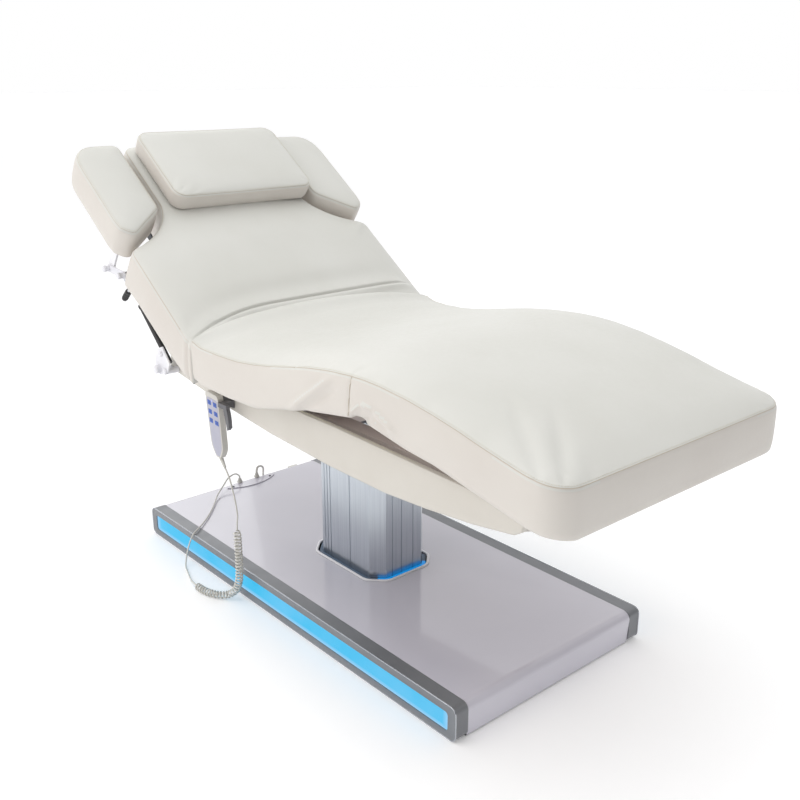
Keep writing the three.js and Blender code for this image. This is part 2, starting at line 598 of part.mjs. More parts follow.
handset.updateMatrixWorld(true);
const bootEnd = belowBoot(GAP);
const bootBelow = belowBoot(9);
upperRoute.push(bootBelow.toArray(), bootEnd.toArray());

const cordPlastic = finish(CORD_GREY, 0.55);
add(root, 'handset_cord_lower', cordTube(handsetRoute, CORD.handset, 8, 54), cordPlastic);
add(root, 'handset_cord_curl', cordTube(curlRoute, CORD.curl, 10, 16), cordPlastic);
add(root, 'handset_cord_upper', cordTube(upperRoute, CORD.handset, 8, 18), cordPlastic);

const COIL = { x: -697, y: 170, middle: 39, radial: 4, layers: 3 };
const coilHalf = COIL.radial * CORD.mains / 2;
const coilHeight = COIL.layers * CORD.mains;
const mainsRoute = [
  [-617, 48, glandTop + GAP], [-617, 48, 103], [-620, 53, 113], [-628, 68, 112], [-640, 86, 98],
  [-650, 92, 70], [-656, 94, 38], [-658.5, 96.5, 17], [-665, 101.3, 6.4], [-675, 108.4, 3.5], [-684.3, 115, 3.4],
];
add(root, 'mains_cord', cordTube(mainsRoute, CORD.mains, 10, 24), cordPlastic);
const ringSection = [
  [COIL.middle - coilHalf, 0.1], [COIL.middle + coilHalf, 0.1], [COIL.middle + coilHalf, coilHeight],
  [COIL.middle - coilHalf, coilHeight], [COIL.middle - coilHalf, 0.1],
].map(([r, z]) => new THREE.Vector2(r, z));
add(root, 'mains_cord_coil', new THREE.LatheGeometry(ringSection, 32).rotateX(Math.PI / 2), cordPlastic,
  [COIL.x, COIL.y, 0]);
const plugBody = block(-18, 18, 0, 34, 0.1, 30);
const plugNeck = block(-9, 9, -12, 1, 6, 24);
const plugPins = [-9.5, 9.5].map((x) => barZ(x, 0, 2.4, 33, 52, 12).rotateX(-Math.PI / 2).translate(0, 0, 15));
add(root, 'mains_plug', join(plugBody, plugNeck, ...plugPins), finish(CORD_GREY, 0.5), [-715, 242, 0]);

export default root;
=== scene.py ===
"""Looks of the facial treatment bed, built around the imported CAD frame. Metres, same frame as the CAD."""
import math
import bmesh
import bpy
import numpy as np
from mathutils import Matrix, Vector
from mathutils.geometry import delaunay_2d_cdt


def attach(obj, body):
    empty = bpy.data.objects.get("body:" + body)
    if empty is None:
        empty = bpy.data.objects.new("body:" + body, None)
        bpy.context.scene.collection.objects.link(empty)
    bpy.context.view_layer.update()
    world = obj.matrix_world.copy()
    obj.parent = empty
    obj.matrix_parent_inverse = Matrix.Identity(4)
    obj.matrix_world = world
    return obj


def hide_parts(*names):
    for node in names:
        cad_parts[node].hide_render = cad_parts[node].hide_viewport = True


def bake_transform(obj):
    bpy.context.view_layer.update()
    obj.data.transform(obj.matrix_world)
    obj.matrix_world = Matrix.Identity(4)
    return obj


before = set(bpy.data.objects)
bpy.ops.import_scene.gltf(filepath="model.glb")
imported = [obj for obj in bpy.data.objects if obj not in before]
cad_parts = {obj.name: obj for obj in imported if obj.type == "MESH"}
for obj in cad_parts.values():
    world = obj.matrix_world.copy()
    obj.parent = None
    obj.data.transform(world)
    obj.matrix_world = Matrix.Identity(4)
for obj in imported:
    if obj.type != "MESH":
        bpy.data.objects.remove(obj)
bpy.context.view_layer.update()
MM = 0.001
SIDES = (("near", -1), ("far", 1))


# ---------------------------------------------------------------- camera
camera = bpy.data.objects.new("camera", bpy.data.cameras.new("camera"))
bpy.context.scene.collection.objects.link(camera)
camera.location = (1.8138, -1.4666, 1.2853)
camera.rotation_euler = (math.radians(90 - 18.54), 0, math.radians(49.12))
camera.data.sensor_width = 36
camera.data.lens = 44.28
bpy.context.scene.camera = camera


# ---------------------------------------------------------------- small tools
def new_mesh(name, points, faces, smooth=True):
    mesh = bpy.data.meshes.new(name)
    mesh.from_pydata([tuple(p) for p in points], [], [tuple(f) for f in faces])
    mesh.validate()
    mesh.update()
    mesh.shade_smooth() if smooth else mesh.shade_flat()
    made = bpy.data.objects.new(name, mesh)
    bpy.context.scene.collection.objects.link(made)
    return made


def dress(piece, material, body=None):
    piece.data.materials.clear()
    piece.data.materials.append(material)
    if body:
        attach(piece, body)
    return piece


def smooth_route(points, steps):
    """Points along a smooth curve through the given ones (centripetal Catmull-Rom), evenly spaced."""
    p = np.array(points, float)
    p = np.vstack([2 * p[0] - p[1], p, 2 * p[-1] - p[-2]])
    dense = []
    for i in range(1, len(p) - 2):
        p0, p1, p2, p3 = p[i - 1:i + 3]
        t1 = np.linalg.norm(p1 - p0) ** 0.5
        t2 = t1 + np.linalg.norm(p2 - p1) ** 0.5
        t3 = t2 + np.linalg.norm(p3 - p2) ** 0.5
        for t in np.linspace(t1, t2, 24, endpoint=False):
            a1 = (t1 - t) / t1 * p0 + t / t1 * p1
            a2 = (t2 - t) / (t2 - t1) * p1 + (t - t1) / (t2 - t1) * p2
            a3 = (t3 - t) / (t3 - t2) * p2 + (t - t2) / (t3 - t2) * p3
            b1 = (t2 - t) / t2 * a1 + t / t2 * a2
            b2 = (t3 - t) / (t3 - t1) * a2 + (t - t1) / (t3 - t1) * a3
            dense.append((t2 - t) / (t2 - t1) * b1 + (t - t1) / (t2 - t1) * b2)
    dense = np.vstack([dense, p[-2]])
    run = np.r_[0, np.cumsum(np.linalg.norm(np.diff(dense, axis=0), axis=1))]
    where = np.linspace(0, run[-1], steps)
    return np.column_stack([np.interp(where, run, dense[:, k]) for k in range(3)])


def path_frames(path):
    """Tangent and two side directions at each point, carried along without twisting."""
    tangent = np.gradient(path, axis=0)
    tangent /= np.linalg.norm(tangent, axis=1)[:, None]
    side = np.cross(tangent[0], (0.3, 0.5, 0.8))
    sides = []
    for t in tangent:
        side = side - t * (side @ t)
        side /= np.linalg.norm(side)
        sides.append(side)
    sides = np.array(sides)
    return tangent, sides, np.cross(tangent, sides)


def ring_faces(rings, around, closed=False, first=0):
    """Faces joining rings of points one after another, with a cap on each open end."""
    faces = []
    for i in range(rings if closed else rings - 1):
        a, b = first + i * around, first + (i + 1) % rings * around
        faces += [(a + k, a + (k + 1) % around, b + (k + 1) % around, b + k) for k in range(around)]
    if not closed:
        faces.append(tuple(first + k for k in reversed(range(around))))
        faces.append(tuple(first + (rings - 1) * around + k for k in range(around)))
    return faces


def tube(name, path, radius, around=10, closed=False):
    """A round tube along a path."""
    path = np.array(path, float)
    _, side, up = path_frames(path)
    angle = np.arange(around) * 2 * math.pi / around
    rings = path[:, None] + radius * (np.cos(angle)[None, :, None] * side[:, None]
                                      + np.sin(angle)[None, :, None] * up[:, None])
    return new_mesh(name, rings.reshape(-1, 3), ring_faces(len(path), around, closed))


def lathe(name, profile, place, axis, around=32):
    """A turned piece: profile is (radius, height) pairs along axis from place."""
    axis = np.array(axis, float) / np.linalg.norm(axis)
    side = np.cross(axis, (0.31, 0.57, 0.76))
    side /= np.linalg.norm(side)
    up = np.cross(axis, side)
    turns = [2 * math.pi * k / around for k in range(around)]
    points = [np.array(place) + axis * height + radius * (math.cos(a) * side + math.sin(a) * up)
              for radius, height in profile for a in turns]
    return new_mesh(name, points, ring_faces(len(profile), around))


# ---------------------------------------------------------------- materials
class Nodes:
    """A material's node tree with short calls to add and link nodes."""

    def __init__(self, name):
        self.material = bpy.data.materials.new(name)
        self.material.use_nodes = True
        self.tree = self.material.node_tree
        self.shader = self.tree.nodes["Principled BSDF"]
        self.place = self.add("ShaderNodeTexCoord").outputs["Object"]

    def add(self, kind, **values):
        node = self.tree.nodes.new(kind)
        for key, value in values.items():
            socket = key.replace("_", " ").capitalize() if key.islower() else key
            if socket in node.inputs:
                if isinstance(value, bpy.types.NodeSocket):
                    self.tree.links.new(value, node.inputs[socket])
                else:
                    node.inputs[socket].default_value = value
            else:
                setattr(node, key, value)
        return node

    def link(self, output, target):
        self.tree.links.new(output, target)

    def set(self, **values):
        for key, value in values.items():
            self.shader.inputs[key.replace("_", " ")].default_value = value

    def noise(self, scale, detail=3.0, roughness=0.5, vector=None):
        return self.add("ShaderNodeTexNoise", vector=vector or self.place, scale=scale, detail=detail,
                        roughness=roughness).outputs["Fac"]

    def stretch(self, x, y, z):
        node = self.add("ShaderNodeMapping", vector=self.place)
        node.inputs["Scale"].default_value = (x, y, z)
        return node.outputs["Vector"]

    def span(self, value, low, high, start=0.0, stop=1.0):
        node = self.add("ShaderNodeMapRange")
        self.link(value, node.inputs["Value"])
        for key, number in (("From Min", start), ("From Max", stop), ("To Min", low), ("To Max", high)):
            node.inputs[key].default_value = number
        return node.outputs["Result"]

    def mix(self, share, first, second):
        node = self.add("ShaderNodeMix", data_type="RGBA")
        self.link(share, node.inputs[0])
        for socket, colour in ((node.inputs[6], first), (node.inputs[7], second)):
            if isinstance(colour, bpy.types.NodeSocket):
                self.link(colour, socket)
            else:
                socket.default_value = (*colour, 1)
        return node.outputs[2]

    def maths(self, operation, *values):
        node = self.add("ShaderNodeMath", operation=operation)
        for value, socket in zip(values, node.inputs):
            self.link(value, socket)
        return node.outputs[0]

    def bump(self, height, strength, distance, below=None):
        node = self.add("ShaderNodeBump")
        node.inputs["Strength"].default_value = strength
        node.inputs["Distance"].default_value = distance
        self.link(height, node.inputs["Height"])
        if below:
            self.link(below, node.inputs["Normal"])
        return node.outputs["Normal"]

    def finish(self, colour=None, roughness=None, normal=None):
        for socket, value in (("Base Color", colour), ("Roughness", roughness), ("Normal", normal)):
            if value is not None:
                self.link(value, self.shader.inputs[socket])
        return self.material


def linear(r, g, b):
    """A screen colour of 0 to 255 as the linear values that shaders take."""
    return tuple(v / 12.92 if v <= 0.04045 else ((v + 0.055) / 1.055) ** 2.4
                 for v in (r / 255, g / 255, b / 255))


def leather(name, light, shade):
    n = Nodes(name)
    light, shade = linear(*light), linear(*shade)
    n.set(**{"Specular IOR Level": 0.45, "Sheen Weight": 0.12, "Sheen Roughness": 0.5})
    cloud = n.noise(5.0, 4.0)
    colour = n.mix(n.span(cloud, 0.0, 1.0, 0.3, 0.7), light, shade)
    cells = n.add("ShaderNodeTexVoronoi", vector=n.place, scale=620.0, feature="DISTANCE_TO_EDGE")
    pores = n.noise(2600.0, 2.0)
    soft = n.noise(38.0, 3.0)
    grain = n.bump(n.span(cells.outputs["Distance"], 0.0, 1.0, 0.0, 0.25), 0.16, 0.0004)
    grain = n.bump(pores, 0.05, 0.0002, grain)
    grain = n.bump(soft, 0.10, 0.0012, grain)
    return n.finish(colour, n.span(n.noise(90.0, 4.0), 0.40, 0.54, 0.3, 0.7), grain)


def plastic(name, light, shade, rough=(0.38, 0.5), grain=900.0, depth=0.08):
    n = Nodes(name)
    light, shade = linear(*light), linear(*shade)
    colour = n.mix(n.span(n.noise(14.0, 3.0), 0.0, 1.0, 0.3, 0.7), light, shade)
    return n.finish(colour, n.span(n.noise(60.0, 3.0), *rough, 0.3, 0.7),
                    n.bump(n.noise(grain, 2.0), depth, 0.0003))


def paint(name, light, shade, rough=(0.2, 0.3), coat=0.0, metal=0.0):
    n = Nodes(name)
    light, shade = linear(*light), linear(*shade)
    n.set(**{"Coat Weight": coat, "Coat Roughness": 0.05, "Metallic": metal})
    colour = n.mix(n.span(n.noise(3.0, 3.0), 0.0, 1.0, 0.3, 0.7), light, shade)
    # Sharp convex edges are drawn lighter.
    sharp_edge_share = n.add("ShaderNodeNewGeometry").outputs["Pointiness"]
    colour = n.mix(n.span(sharp_edge_share, 0.0, 0.5, 0.53, 0.6), colour, tuple(min(1, v * 1.25) for v in light))
    return n.finish(colour, n.span(n.noise(25.0, 4.0), *rough, 0.3, 0.7),
                    n.bump(n.noise(420.0, 2.0), 0.03, 0.0002))


def brushed(name, light, shade, rough=(0.25, 0.42), run=(260.0, 260.0, 3.0)):
    n = Nodes(name)
    light, shade = linear(*light), linear(*shade)
    n.set(**{"Metallic": 1.0, "Anisotropic": 0.35})
    lines = n.noise(1.0, 4.0, 0.6, n.stretch(*run))
    colour = n.mix(n.span(lines, 0.0, 1.0, 0.3, 0.7), light, shade)
    return n.finish(colour, n.span(lines, *rough, 0.25, 0.75), n.bump(lines, 0.06, 0.0002))


IVORY = leather("ivory_leather", (216, 215, 210), (211, 210, 204))
IVORY_SIDE = leather("ivory_leather_boards", (212, 208, 200), (206, 201, 192))
# Painted side shade: a darker, warmer copy of the top leather, used on the pads' sides.
IVORY_PAINTED_SIDE_SHADE = leather("ivory_leather_painted_side_shade", (215, 210, 203), (210, 204, 197))
PIPING = leather("cream_piping", (206, 204, 184), (200, 197, 176))
SEAM_LINE = leather("seam_line", (196, 187, 172), (188, 178, 162))
THREAD = plastic("seam_thread", (226, 222, 208), (214, 208, 192), (0.6, 0.75))
LACQUER = paint("lilac_lacquer", (206, 204, 214), (199, 197, 208), (0.12, 0.2), coat=0.6)
TRIM = paint("grey_trim", (128, 130, 134), (116, 118, 122), (0.3, 0.42), metal=0.3)
# Painted highlight: the trims' chamfer line, lighter than the trim itself.
CHAMFER_HIGHLIGHT = brushed("painted_chamfer_highlight", (186, 189, 194), (168, 171, 177), (0.12, 0.25))
WHITE = paint("white_paint", (236, 236, 240), (226, 226, 232), (0.25, 0.38))
DARK = paint("dark_frame_paint", (66, 68, 72), (54, 56, 60), (0.4, 0.55))
ALUMINIUM = brushed("brushed_aluminium", (206, 212, 218), (192, 198, 206), (0.3, 0.42))
CHROME = brushed("polished_rod", (214, 216, 220), (196, 198, 204), (0.08, 0.16), (40.0, 40.0, 40.0))
TAUPE = paint("taupe_frame_paint", (190, 180, 175), (182, 172, 167), (0.4, 0.55))
LINING = plastic("board_lining", (206, 196, 190), (196, 186, 180), (0.7, 0.85))
CORD_GREY = plastic("cord_sheath", (214, 212, 206), (202, 200, 193))
SHELL_GREY = plastic("handset_shell", (206, 203, 196), (198, 195, 188), (0.35, 0.45))
FACE_GREY = plastic("handset_face", (176, 176, 190), (166, 166, 182), (0.3, 0.4))
KEY_BLUE = plastic("key_blue", (42, 92, 186), (34, 80, 172), (0.34, 0.46))
KEY_DARK = plastic("key_mark", (26, 58, 128), (20, 50, 118), (0.3, 0.4))
HOOK_GREY = plastic("hook_plastic", (104, 104, 108), (88, 88, 92))
SEAL = plastic("rubber_seal", (96, 116, 138), (88, 106, 128), (0.5, 0.6))
BLACK = plastic("black_plastic", (30, 30, 32), (20, 20, 22), (0.28, 0.42))
BOX_GREY = plastic("control_plastic", (44, 44, 46), (36, 36, 38))


def glowing(name, middle, edge, strength):
    """A lit diffuser: its colour is paler along its ends and lower edge."""
    n = Nodes(name)
    split = n.add("ShaderNodeSeparateXYZ", vector=n.place).outputs
    low = n.span(split["Z"], 1.0, 0.0, 0.018, 0.030)
    end = n.span(n.maths("ABSOLUTE", split["X"]), 0.0, 1.0, 0.590, 0.612)
    soft = n.span(n.noise(6.0), 0.0, 0.25, 0.35, 0.65)
    share = n.maths("MAXIMUM", n.maths("MAXIMUM", low, end), soft)
    n.link(n.mix(share, linear(*middle), linear(*edge)), n.shader.inputs["Emission Color"])
    n.set(**{"Emission Strength": strength, "Specular IOR Level": 0.15})
    dark = n.mix(soft, linear(8, 26, 44), linear(12, 34, 54))
    return n.finish(dark, n.span(n.noise(40.0), 0.2, 0.3))


LIGHT_BLUE = glowing("light_panel_blue", (58, 192, 240), (160, 212, 248), 0.96)
RING_BLUE = glowing("column_glow", (8, 138, 216), (20, 150, 228), 0.85)
LAMP = glowing("handset_lamp", (214, 214, 255), (236, 236, 255), 0.8)


# ---------------------------------------------------------------- cords
LEAD = {"wire": 4.2, "helix": 8.3, "turns": 35, "mains": 6.5}

lower_route = [
    (-616, -14, 97.6), (-616, -14, 103), (-620, -24, 113), (-616, -52, 110), (-596, -84, 99),
    (-566, -122, 90), (-520, -162, 86.5), (-470, -208, 86), (-430, -252, 86), (-404, -284, 87),
    (-393, -304, 82), (-392, -315, 64), (-395, -322, 40), (-392, -330, 16), (-378, -340, 5),
    (-345, -352, 3.2), (-305, -366, 4.5), (-275, -373, 8.5), (-256, -376, 11),
]
curl_route = [
    (-255.6, -376, 11), (-235, -376, 11), (-205, -371, 11), (-176, -358, 11.5), (-155, -342, 16),
    (-138, -332, 30), (-125, -328, 56), (-119, -327, 92), (-118, -327, 137), (-119, -327, 206),
]
upper_route = [
    (-119, -327, 206.4), (-117, -327, 222), (-115, -326, 248), (-122, -325, 276), (-137, -322, 303),
    (-155, -318, 327), (-176.79, -313.40, 341.78), (-181.46, -313.75, 349.12),
]


def curled(route, turns, radius, per_turn=14):
    """The helix of a curly cord around a route, opening from its line and closing back into it."""
    steps = turns * per_turn
    middle = smooth_route(route, steps + 1)
    _, side, up = path_frames(middle)
    angle = np.linspace(0, turns * 2 * math.pi, steps + 1)
    reach = radius * np.clip(np.minimum(angle, angle[::-1]) / (1.6 * math.pi), 0, 1)
    return middle + reach[:, None] * (np.cos(angle)[:, None] * side + np.sin(angle)[:, None] * up)


handset_path = MM * np.vstack([
    smooth_route(lower_route, 110)[:-1],
    curled(curl_route, LEAD["turns"], LEAD["helix"]),
    smooth_route(upper_route, 50)[1:],
])


handset_cord = tube("handset_cord", handset_path, LEAD["wire"] / 2 * MM, 8)
dress(handset_cord, CORD_GREY)
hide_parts("handset_cord_lower", "handset_cord_curl", "handset_cord_upper")
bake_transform(handset_cord)

# The mains lead drops behind the head end, then winds in three layers and runs into its plug.
COIL = {"x": -697, "y": 170, "outer": 48.75, "rows": 3, "floor": 3.4}
mains_route = [
    (-617, 48, 97.6), (-617, 48, 103), (-620, 53, 113), (-628, 68, 112), (-640, 86, 98), (-650, 92, 70),
    (-656, 94, 38), (-658.5, 96.5, 17), (-665, 101.3, 6.4), (-675, 108.4, 3.5), (-687, 116.9, 3.4),
]


def coil_turns(start, per_turn=24):
    """Turns of the coil, clockwise from above.
    They run inward on the floor, outward on top, then part of the way round the outside."""
    pitch = LEAD["mains"]
    inner = COIL["outer"] - COIL["rows"] * pitch
    plan = [(COIL["rows"], COIL["outer"], inner, 0, 0), (0.25, inner, inner, 0, 1),
            (COIL["rows"], inner, COIL["outer"], 1, 1), (0.25, COIL["outer"], COIL["outer"], 1, 2),
            (0.74, COIL["outer"], COIL["outer"], 2, 2)]
    points = []
    angle = start
    for turns, r0, r1, low, high in plan:
        steps = int(turns * per_turn)
        for i in range(steps):
            share = i / steps
            a = angle - share * turns * 2 * math.pi
            r = r0 + (r1 - r0) * share
            rise = low + (high - low) * share * share * (3 - 2 * share)
            points.append((COIL["x"] + r * math.cos(a), COIL["y"] + r * math.sin(a),
                           COIL["floor"] + rise * pitch))
        angle -= turns * 2 * math.pi
    return points, angle


winding, last_angle = coil_turns(math.radians(-94))
plug_mouth = (-715, 229.6, 15)
high_layer = COIL["floor"] + 2 * LEAD["mains"]
into_plug = [(COIL["x"] - COIL["outer"], COIL["y"] + 2, high_layer), (-744, 184, high_layer),
             (-733, 203, high_layer - 0.3), (-720, 217, high_layer - 1), plug_mouth]
mains_path = MM * smooth_route([*mains_route, *winding, *into_plug], 460)
mains_cord = tube("mains_lead", mains_path, LEAD["mains"] / 2 * MM, 12)
dress(mains_cord, CORD_GREY, "base")
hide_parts("mains_cord", "mains_cord_coil")


# ---------------------------------------------------------------- padded pieces
def resample(outline, spacing):
    """Evenly spaced points around a closed outline, with its corners kept."""
    p = np.array(outline, float)
    out = []
    for a, b in zip(p, np.roll(p, -1, axis=0)):
        count = max(1, round(np.linalg.norm(b - a) / spacing))
        out += [a + (b - a) * k / count for k in range(count)]
    return np.array(out)


def curve_to(a, control, b, count=8):
    """Points from a towards b along a quadratic curve, without b."""
    t = np.arange(count)[:, None] / count
    return list(((1 - t) ** 2 * np.array(a) + 2 * t * (1 - t) * np.array(control) + t * t * np.array(b)))


def to_outline(points, outline):
    """Distance from each point to a closed outline."""
    a, b = outline, np.roll(outline, -1, axis=0)
    ab = b - a
    best = np.full(len(points), np.inf)
    for start, edge in zip(a, ab):
        t = np.clip(((points - start) @ edge) / max(edge @ edge, 1e-12), 0, 1)
        best = np.minimum(best, np.linalg.norm(points - start - t[:, None] * edge, axis=1))
    return best


def inward(outline):
    """The inward normal at each point of a counter-clockwise outline."""
    run = np.roll(outline, -1, axis=0) - np.roll(outline, 1, axis=0)
    run /= np.linalg.norm(run, axis=1)[:, None]
    return np.column_stack([-run[:, 1], run[:, 0]])


RINGS = (1.5, 3.5, 6.5, 11, 17, 25)


def filled(outline, rings, spacing, columns=(), extra=()):
    """Triangles filling an outline, with rows of points beside it and a grid inside.
    columns are extra x lines and extra is extra points, which the grid keeps clear of."""
    normal = inward(outline)
    points = [outline]
    for depth in rings:
        ring = outline + normal * depth
        points.append(ring[to_outline(ring, outline) > depth * 0.93])
    low, high = outline.min(axis=0), outline.max(axis=0)
    xs = np.arange(low[0] + spacing / 2, high[0], spacing)
    if columns:
        nearest = [min(columns, key=lambda c: abs(c - x)) for x in xs]
        xs = np.array([c if abs(c - x) < spacing / 2 else x for c, x in zip(nearest, xs)])
    ys = np.arange(low[1] + spacing / 2, high[1], spacing)
    grid = np.array([(x, y) for x in xs for y in ys if winding_of((x, y), outline)]).reshape(-1, 2)
    grid = grid[to_outline(grid, outline) > (rings[-1] if rings else 0) + spacing * 0.45]
    if len(extra):
        more = np.array([p for p in extra if winding_of(p, outline)])
        more = more[to_outline(more, outline) > 2.0]
        near = np.array([np.min(np.abs(more - p).sum(axis=1)) for p in grid])
        grid = np.vstack([grid[near > 5.0], more])
    points.append(grid)
    points = np.vstack(points)
    count = len(outline)
    edges = [(i, (i + 1) % count) for i in range(count)]
    found = delaunay_2d_cdt([Vector(p) for p in points], edges, [], 1, 1e-6)
    return np.array([tuple(v) for v in found[0]]), [tuple(f) for f in found[2]]


def winding_of(point, outline):
    """True if the point is inside the outline."""
    x, y = point
    a, b = outline, np.roll(outline, -1, axis=0)
    crosses = (a[:, 1] > y) != (b[:, 1] > y)
    at = a[:, 0] + (y - a[:, 1]) / np.where(crosses, b[:, 1] - a[:, 1], 1) * (b[:, 0] - a[:, 0])
    return bool(np.count_nonzero(crosses & (x < at)) % 2)


def smoothstep(value, low, high):
    t = np.clip((np.asarray(value, float) - low) / (high - low), 0, 1)
    return t * t * (3 - 2 * t)


def hump(value, middle, width):
    return np.exp(-((np.asarray(value, float) - middle) / width) ** 2)


def shoulder_rise(distance, edge=4.0, reach=14.0):
    """How the cover rises from a seam: steep at first, then level."""
    return edge * (1 - np.exp(-np.asarray(distance, float) / (reach / 3.2)))


def pad(outline, low, seam, crown, bulge=3.0, spacing=14.0, edge=4.0, soft_low=9.0, columns=(), notch=1.0,
        reach=None, rings=RINGS, extra=(), rows=9):
    """A stuffed pad as one closed mesh in millimetres; its first points are its top seam.
    low(x, y) is its underside, seam(x, y) its top seam and crown(x, y) how far its top swells.
    reach is a longer outline where one end is no edge but runs on into the next section."""
    flat, faces = filled(outline, rings, spacing, columns, extra)
    depth = to_outline(flat, outline if reach is None else reach)
    x, y = flat[:, 0], flat[:, 1]
    swell = np.clip(1 - np.exp(-depth / 55.0), 0, 1)
    top_z = seam(x, y) + shoulder_rise(depth, edge) + crown(x, y) * swell
    points = [np.column_stack([x, y, top_z])]
    all_faces = list(faces)
    count = len(outline)
    normal = inward(outline)
    ox, oy = outline[:, 0], outline[:, 1]
    z0, z1 = low(ox, oy), top_z[:count]
    points[0][:count, :2] += normal * notch
    previous = np.arange(count)
    base = len(flat)
    shares = np.r_[0.985, 0.955, np.linspace(0.90, 0.16, rows - 2)]
    outs = np.interp(shares, [0.16, 0.27, 0.40, 0.54, 0.68, 0.80, 0.90, 0.955, 0.985],
                     [0.5, 0.8, 0.95, 1.0, 1.0, 0.95, 0.8, 0.55, -0.2])
    bands = [(outline - normal * bulge * out, z0 + (z1 - z0) * share) for share, out in zip(shares, outs)]
    for step in (0.25, 0.6, 1.0):
        angle = step * math.pi / 2
        ring = outline + normal * soft_low * (1 - math.cos(angle)) - normal * bulge * 0.3 * (1 - step)
        bands.append((ring, z0 + np.minimum(soft_low, (z1 - z0) * 0.12) * (1 - math.sin(angle))))
    for ring, z in bands:
        points.append(np.column_stack([ring, z]))
        current = base + np.arange(count)
        base += count
        all_faces += [(previous[i], current[i], current[(i + 1) % count], previous[(i + 1) % count])
                      for i in range(count)]
        previous = current
    under = outline + normal * soft_low
    floor_flat, floor_faces = filled(under, (), spacing * 2.2, columns)
    points.append(np.column_stack([floor_flat, low(floor_flat[:, 0], floor_flat[:, 1])]))
    remap = np.concatenate([previous, base + count + np.arange(max(0, len(floor_flat) - count))])
    all_faces += [tuple(remap[v] for v in face[::-1]) for face in floor_faces]
    return np.vstack(points), all_faces


def seam_line(outline, seam, depth, edge=4.0, lift=0.25):
    """A line on the top cover beside the seam, depth inside it."""
    ring = outline + inward(outline) * depth
    z = seam(outline[:, 0], outline[:, 1]) + shoulder_rise(depth, edge) + lift
    return np.column_stack([ring, z])


def stitches(name, line, pitch=5.5, width=0.45, closed=True):
    """Short raised stitches along a line."""
    line = np.vstack([line, line[:1]]) if closed else line
    run = np.r_[0, np.cumsum(np.linalg.norm(np.diff(line, axis=0), axis=1))]
    count = int(run[-1] / pitch)
    points, faces = [], []
    for i in range(count):
        ends = [np.array([np.interp(d, run, line[:, k]) for k in range(3)])
                for d in ((i + 0.12) * pitch, (i + 0.5) * pitch, (i + 0.88) * pitch)]
        ahead = ends[2] - ends[0]
        ahead /= np.linalg.norm(ahead)
        across = np.cross(ahead, (0, 0, 1))
        across /= max(np.linalg.norm(across), 1e-9)
        up = np.cross(across, ahead)
        first = len(points)
        for end, size, height in ((ends[0], 0.5, -0.2), (ends[1], 1.0, 0.35), (ends[2], 0.5, -0.2)):
            for k in range(6):
                a = k * math.pi / 3
                round_it = width * size * (math.cos(a) * across + math.sin(a) * up)
                points.append(end + round_it + up * height * width)
        faces += ring_faces(3, 6, first=first)
    return np.array(points), faces


# The seat, thigh and leg sections wear one long cover; heights are read along the bed, in millimetres.
START = -197
SEAM = ([-222, -205, -190, -161, -85, -9, 60, 126, 190, 253, 320,
         384, 430, 475, 550, 621, 680, 733, 822, 864, 906],
        [687, 684, 678, 671, 669, 671, 679, 690, 703, 715, 724,
         729, 730, 728, 720, 708, 696, 683, 664, 657, 650])
SIDE_LOW = ([-205, -190, -172, -56, 53, 150, 248, 382, 398, 412, 440, 546, 618, 698, 762, 835, 906],
            [588, 583, 577, 573, 576, 598, 620, 641, 651, 650, 641, 621, 613, 596, 583, 568, 556])
HALF_WIDTH = 374     # of the back and of the long cover's head end, from where the cover narrows
HINGE, KNEE, FOOT = 40, 390, 906
LEG_CORNER = 58


def half_width(x):
    return HALF_WIDTH - 24 * (np.asarray(x, float) + 200) / 1103


def long_seam(x, y):
    return np.interp(x, *SEAM)


def board_height(x):
    """The plane that the seat, thigh and leg boards make under the pads."""
    x = np.asarray(x, float)
    thigh = 574.4 + (x - HINGE) * math.tan(math.radians(11.2))
    leg = 643.6 - (x - KNEE) * math.tan(math.radians(10.0))
    return np.maximum(574.4, np.minimum(thigh, leg)) * (x < 500) + leg * (x >= 500)


def long_low(x, y):
    side = smoothstep(np.abs(y), 288, 335)
    return board_height(x) * (1 - side) + np.interp(x, *SIDE_LOW) * side


def head_end(y):
    """The seat's head edge bows up under the foot of the back."""
    return START - 58 * (1 - np.minimum(np.abs(np.asarray(y, float)) / 372, 1) ** 2.2)


def long_crown(x, y):
    foot = smoothstep(FOOT - np.asarray(x, float), 0, 160)
    rear = 1 - smoothstep(x, -170, -40)
    dome = 1 - (np.asarray(y, float) / 380) ** 2
    ripple = np.sin(np.asarray(x) / 21.0 + np.sin(np.asarray(y) / 60.0))
    faint = ripple * hump(x, -90, 60) * hump(y, 60, 190)
    return 24.0 * (0.75 + 0.25 * foot) * (1 - rear * (1 - 1.04 * dome)) + faint


def long_outline():
    along = np.r_[np.arange(START, START + 24, 4.0), np.arange(START + 24, 160, 11.0),
                  np.arange(160, 520, 4.0), np.arange(520, FOOT - LEG_CORNER, 11.0)]
    near = [(x, -half_width(x)) for x in along]
    end = half_width(FOOT)
    corner = [(FOOT - LEG_CORNER + LEG_CORNER * math.sin(a), -end + LEG_CORNER * (1 - math.cos(a)))
              for a in np.linspace(0, math.pi / 2, 12)]
    foot_edge = [(FOOT, y) for y in np.linspace(-end + LEG_CORNER, end - LEG_CORNER, 54)[1:-1]]
    far = [(x, -y) for x, y in reversed(near + corner)]
    start = half_width(START)
    head_edge = [(float(head_end(y)), y) for y in np.linspace(start, -start, 72)[1:-1]]
    return np.array(near + corner + foot_edge + far + head_edge)


def extended(outline, ends, to):
    """The outline with one end carried on, so that the end is not counted as an edge."""
    longer = outline.copy()
    longer[ends, 0] = to
    return longer


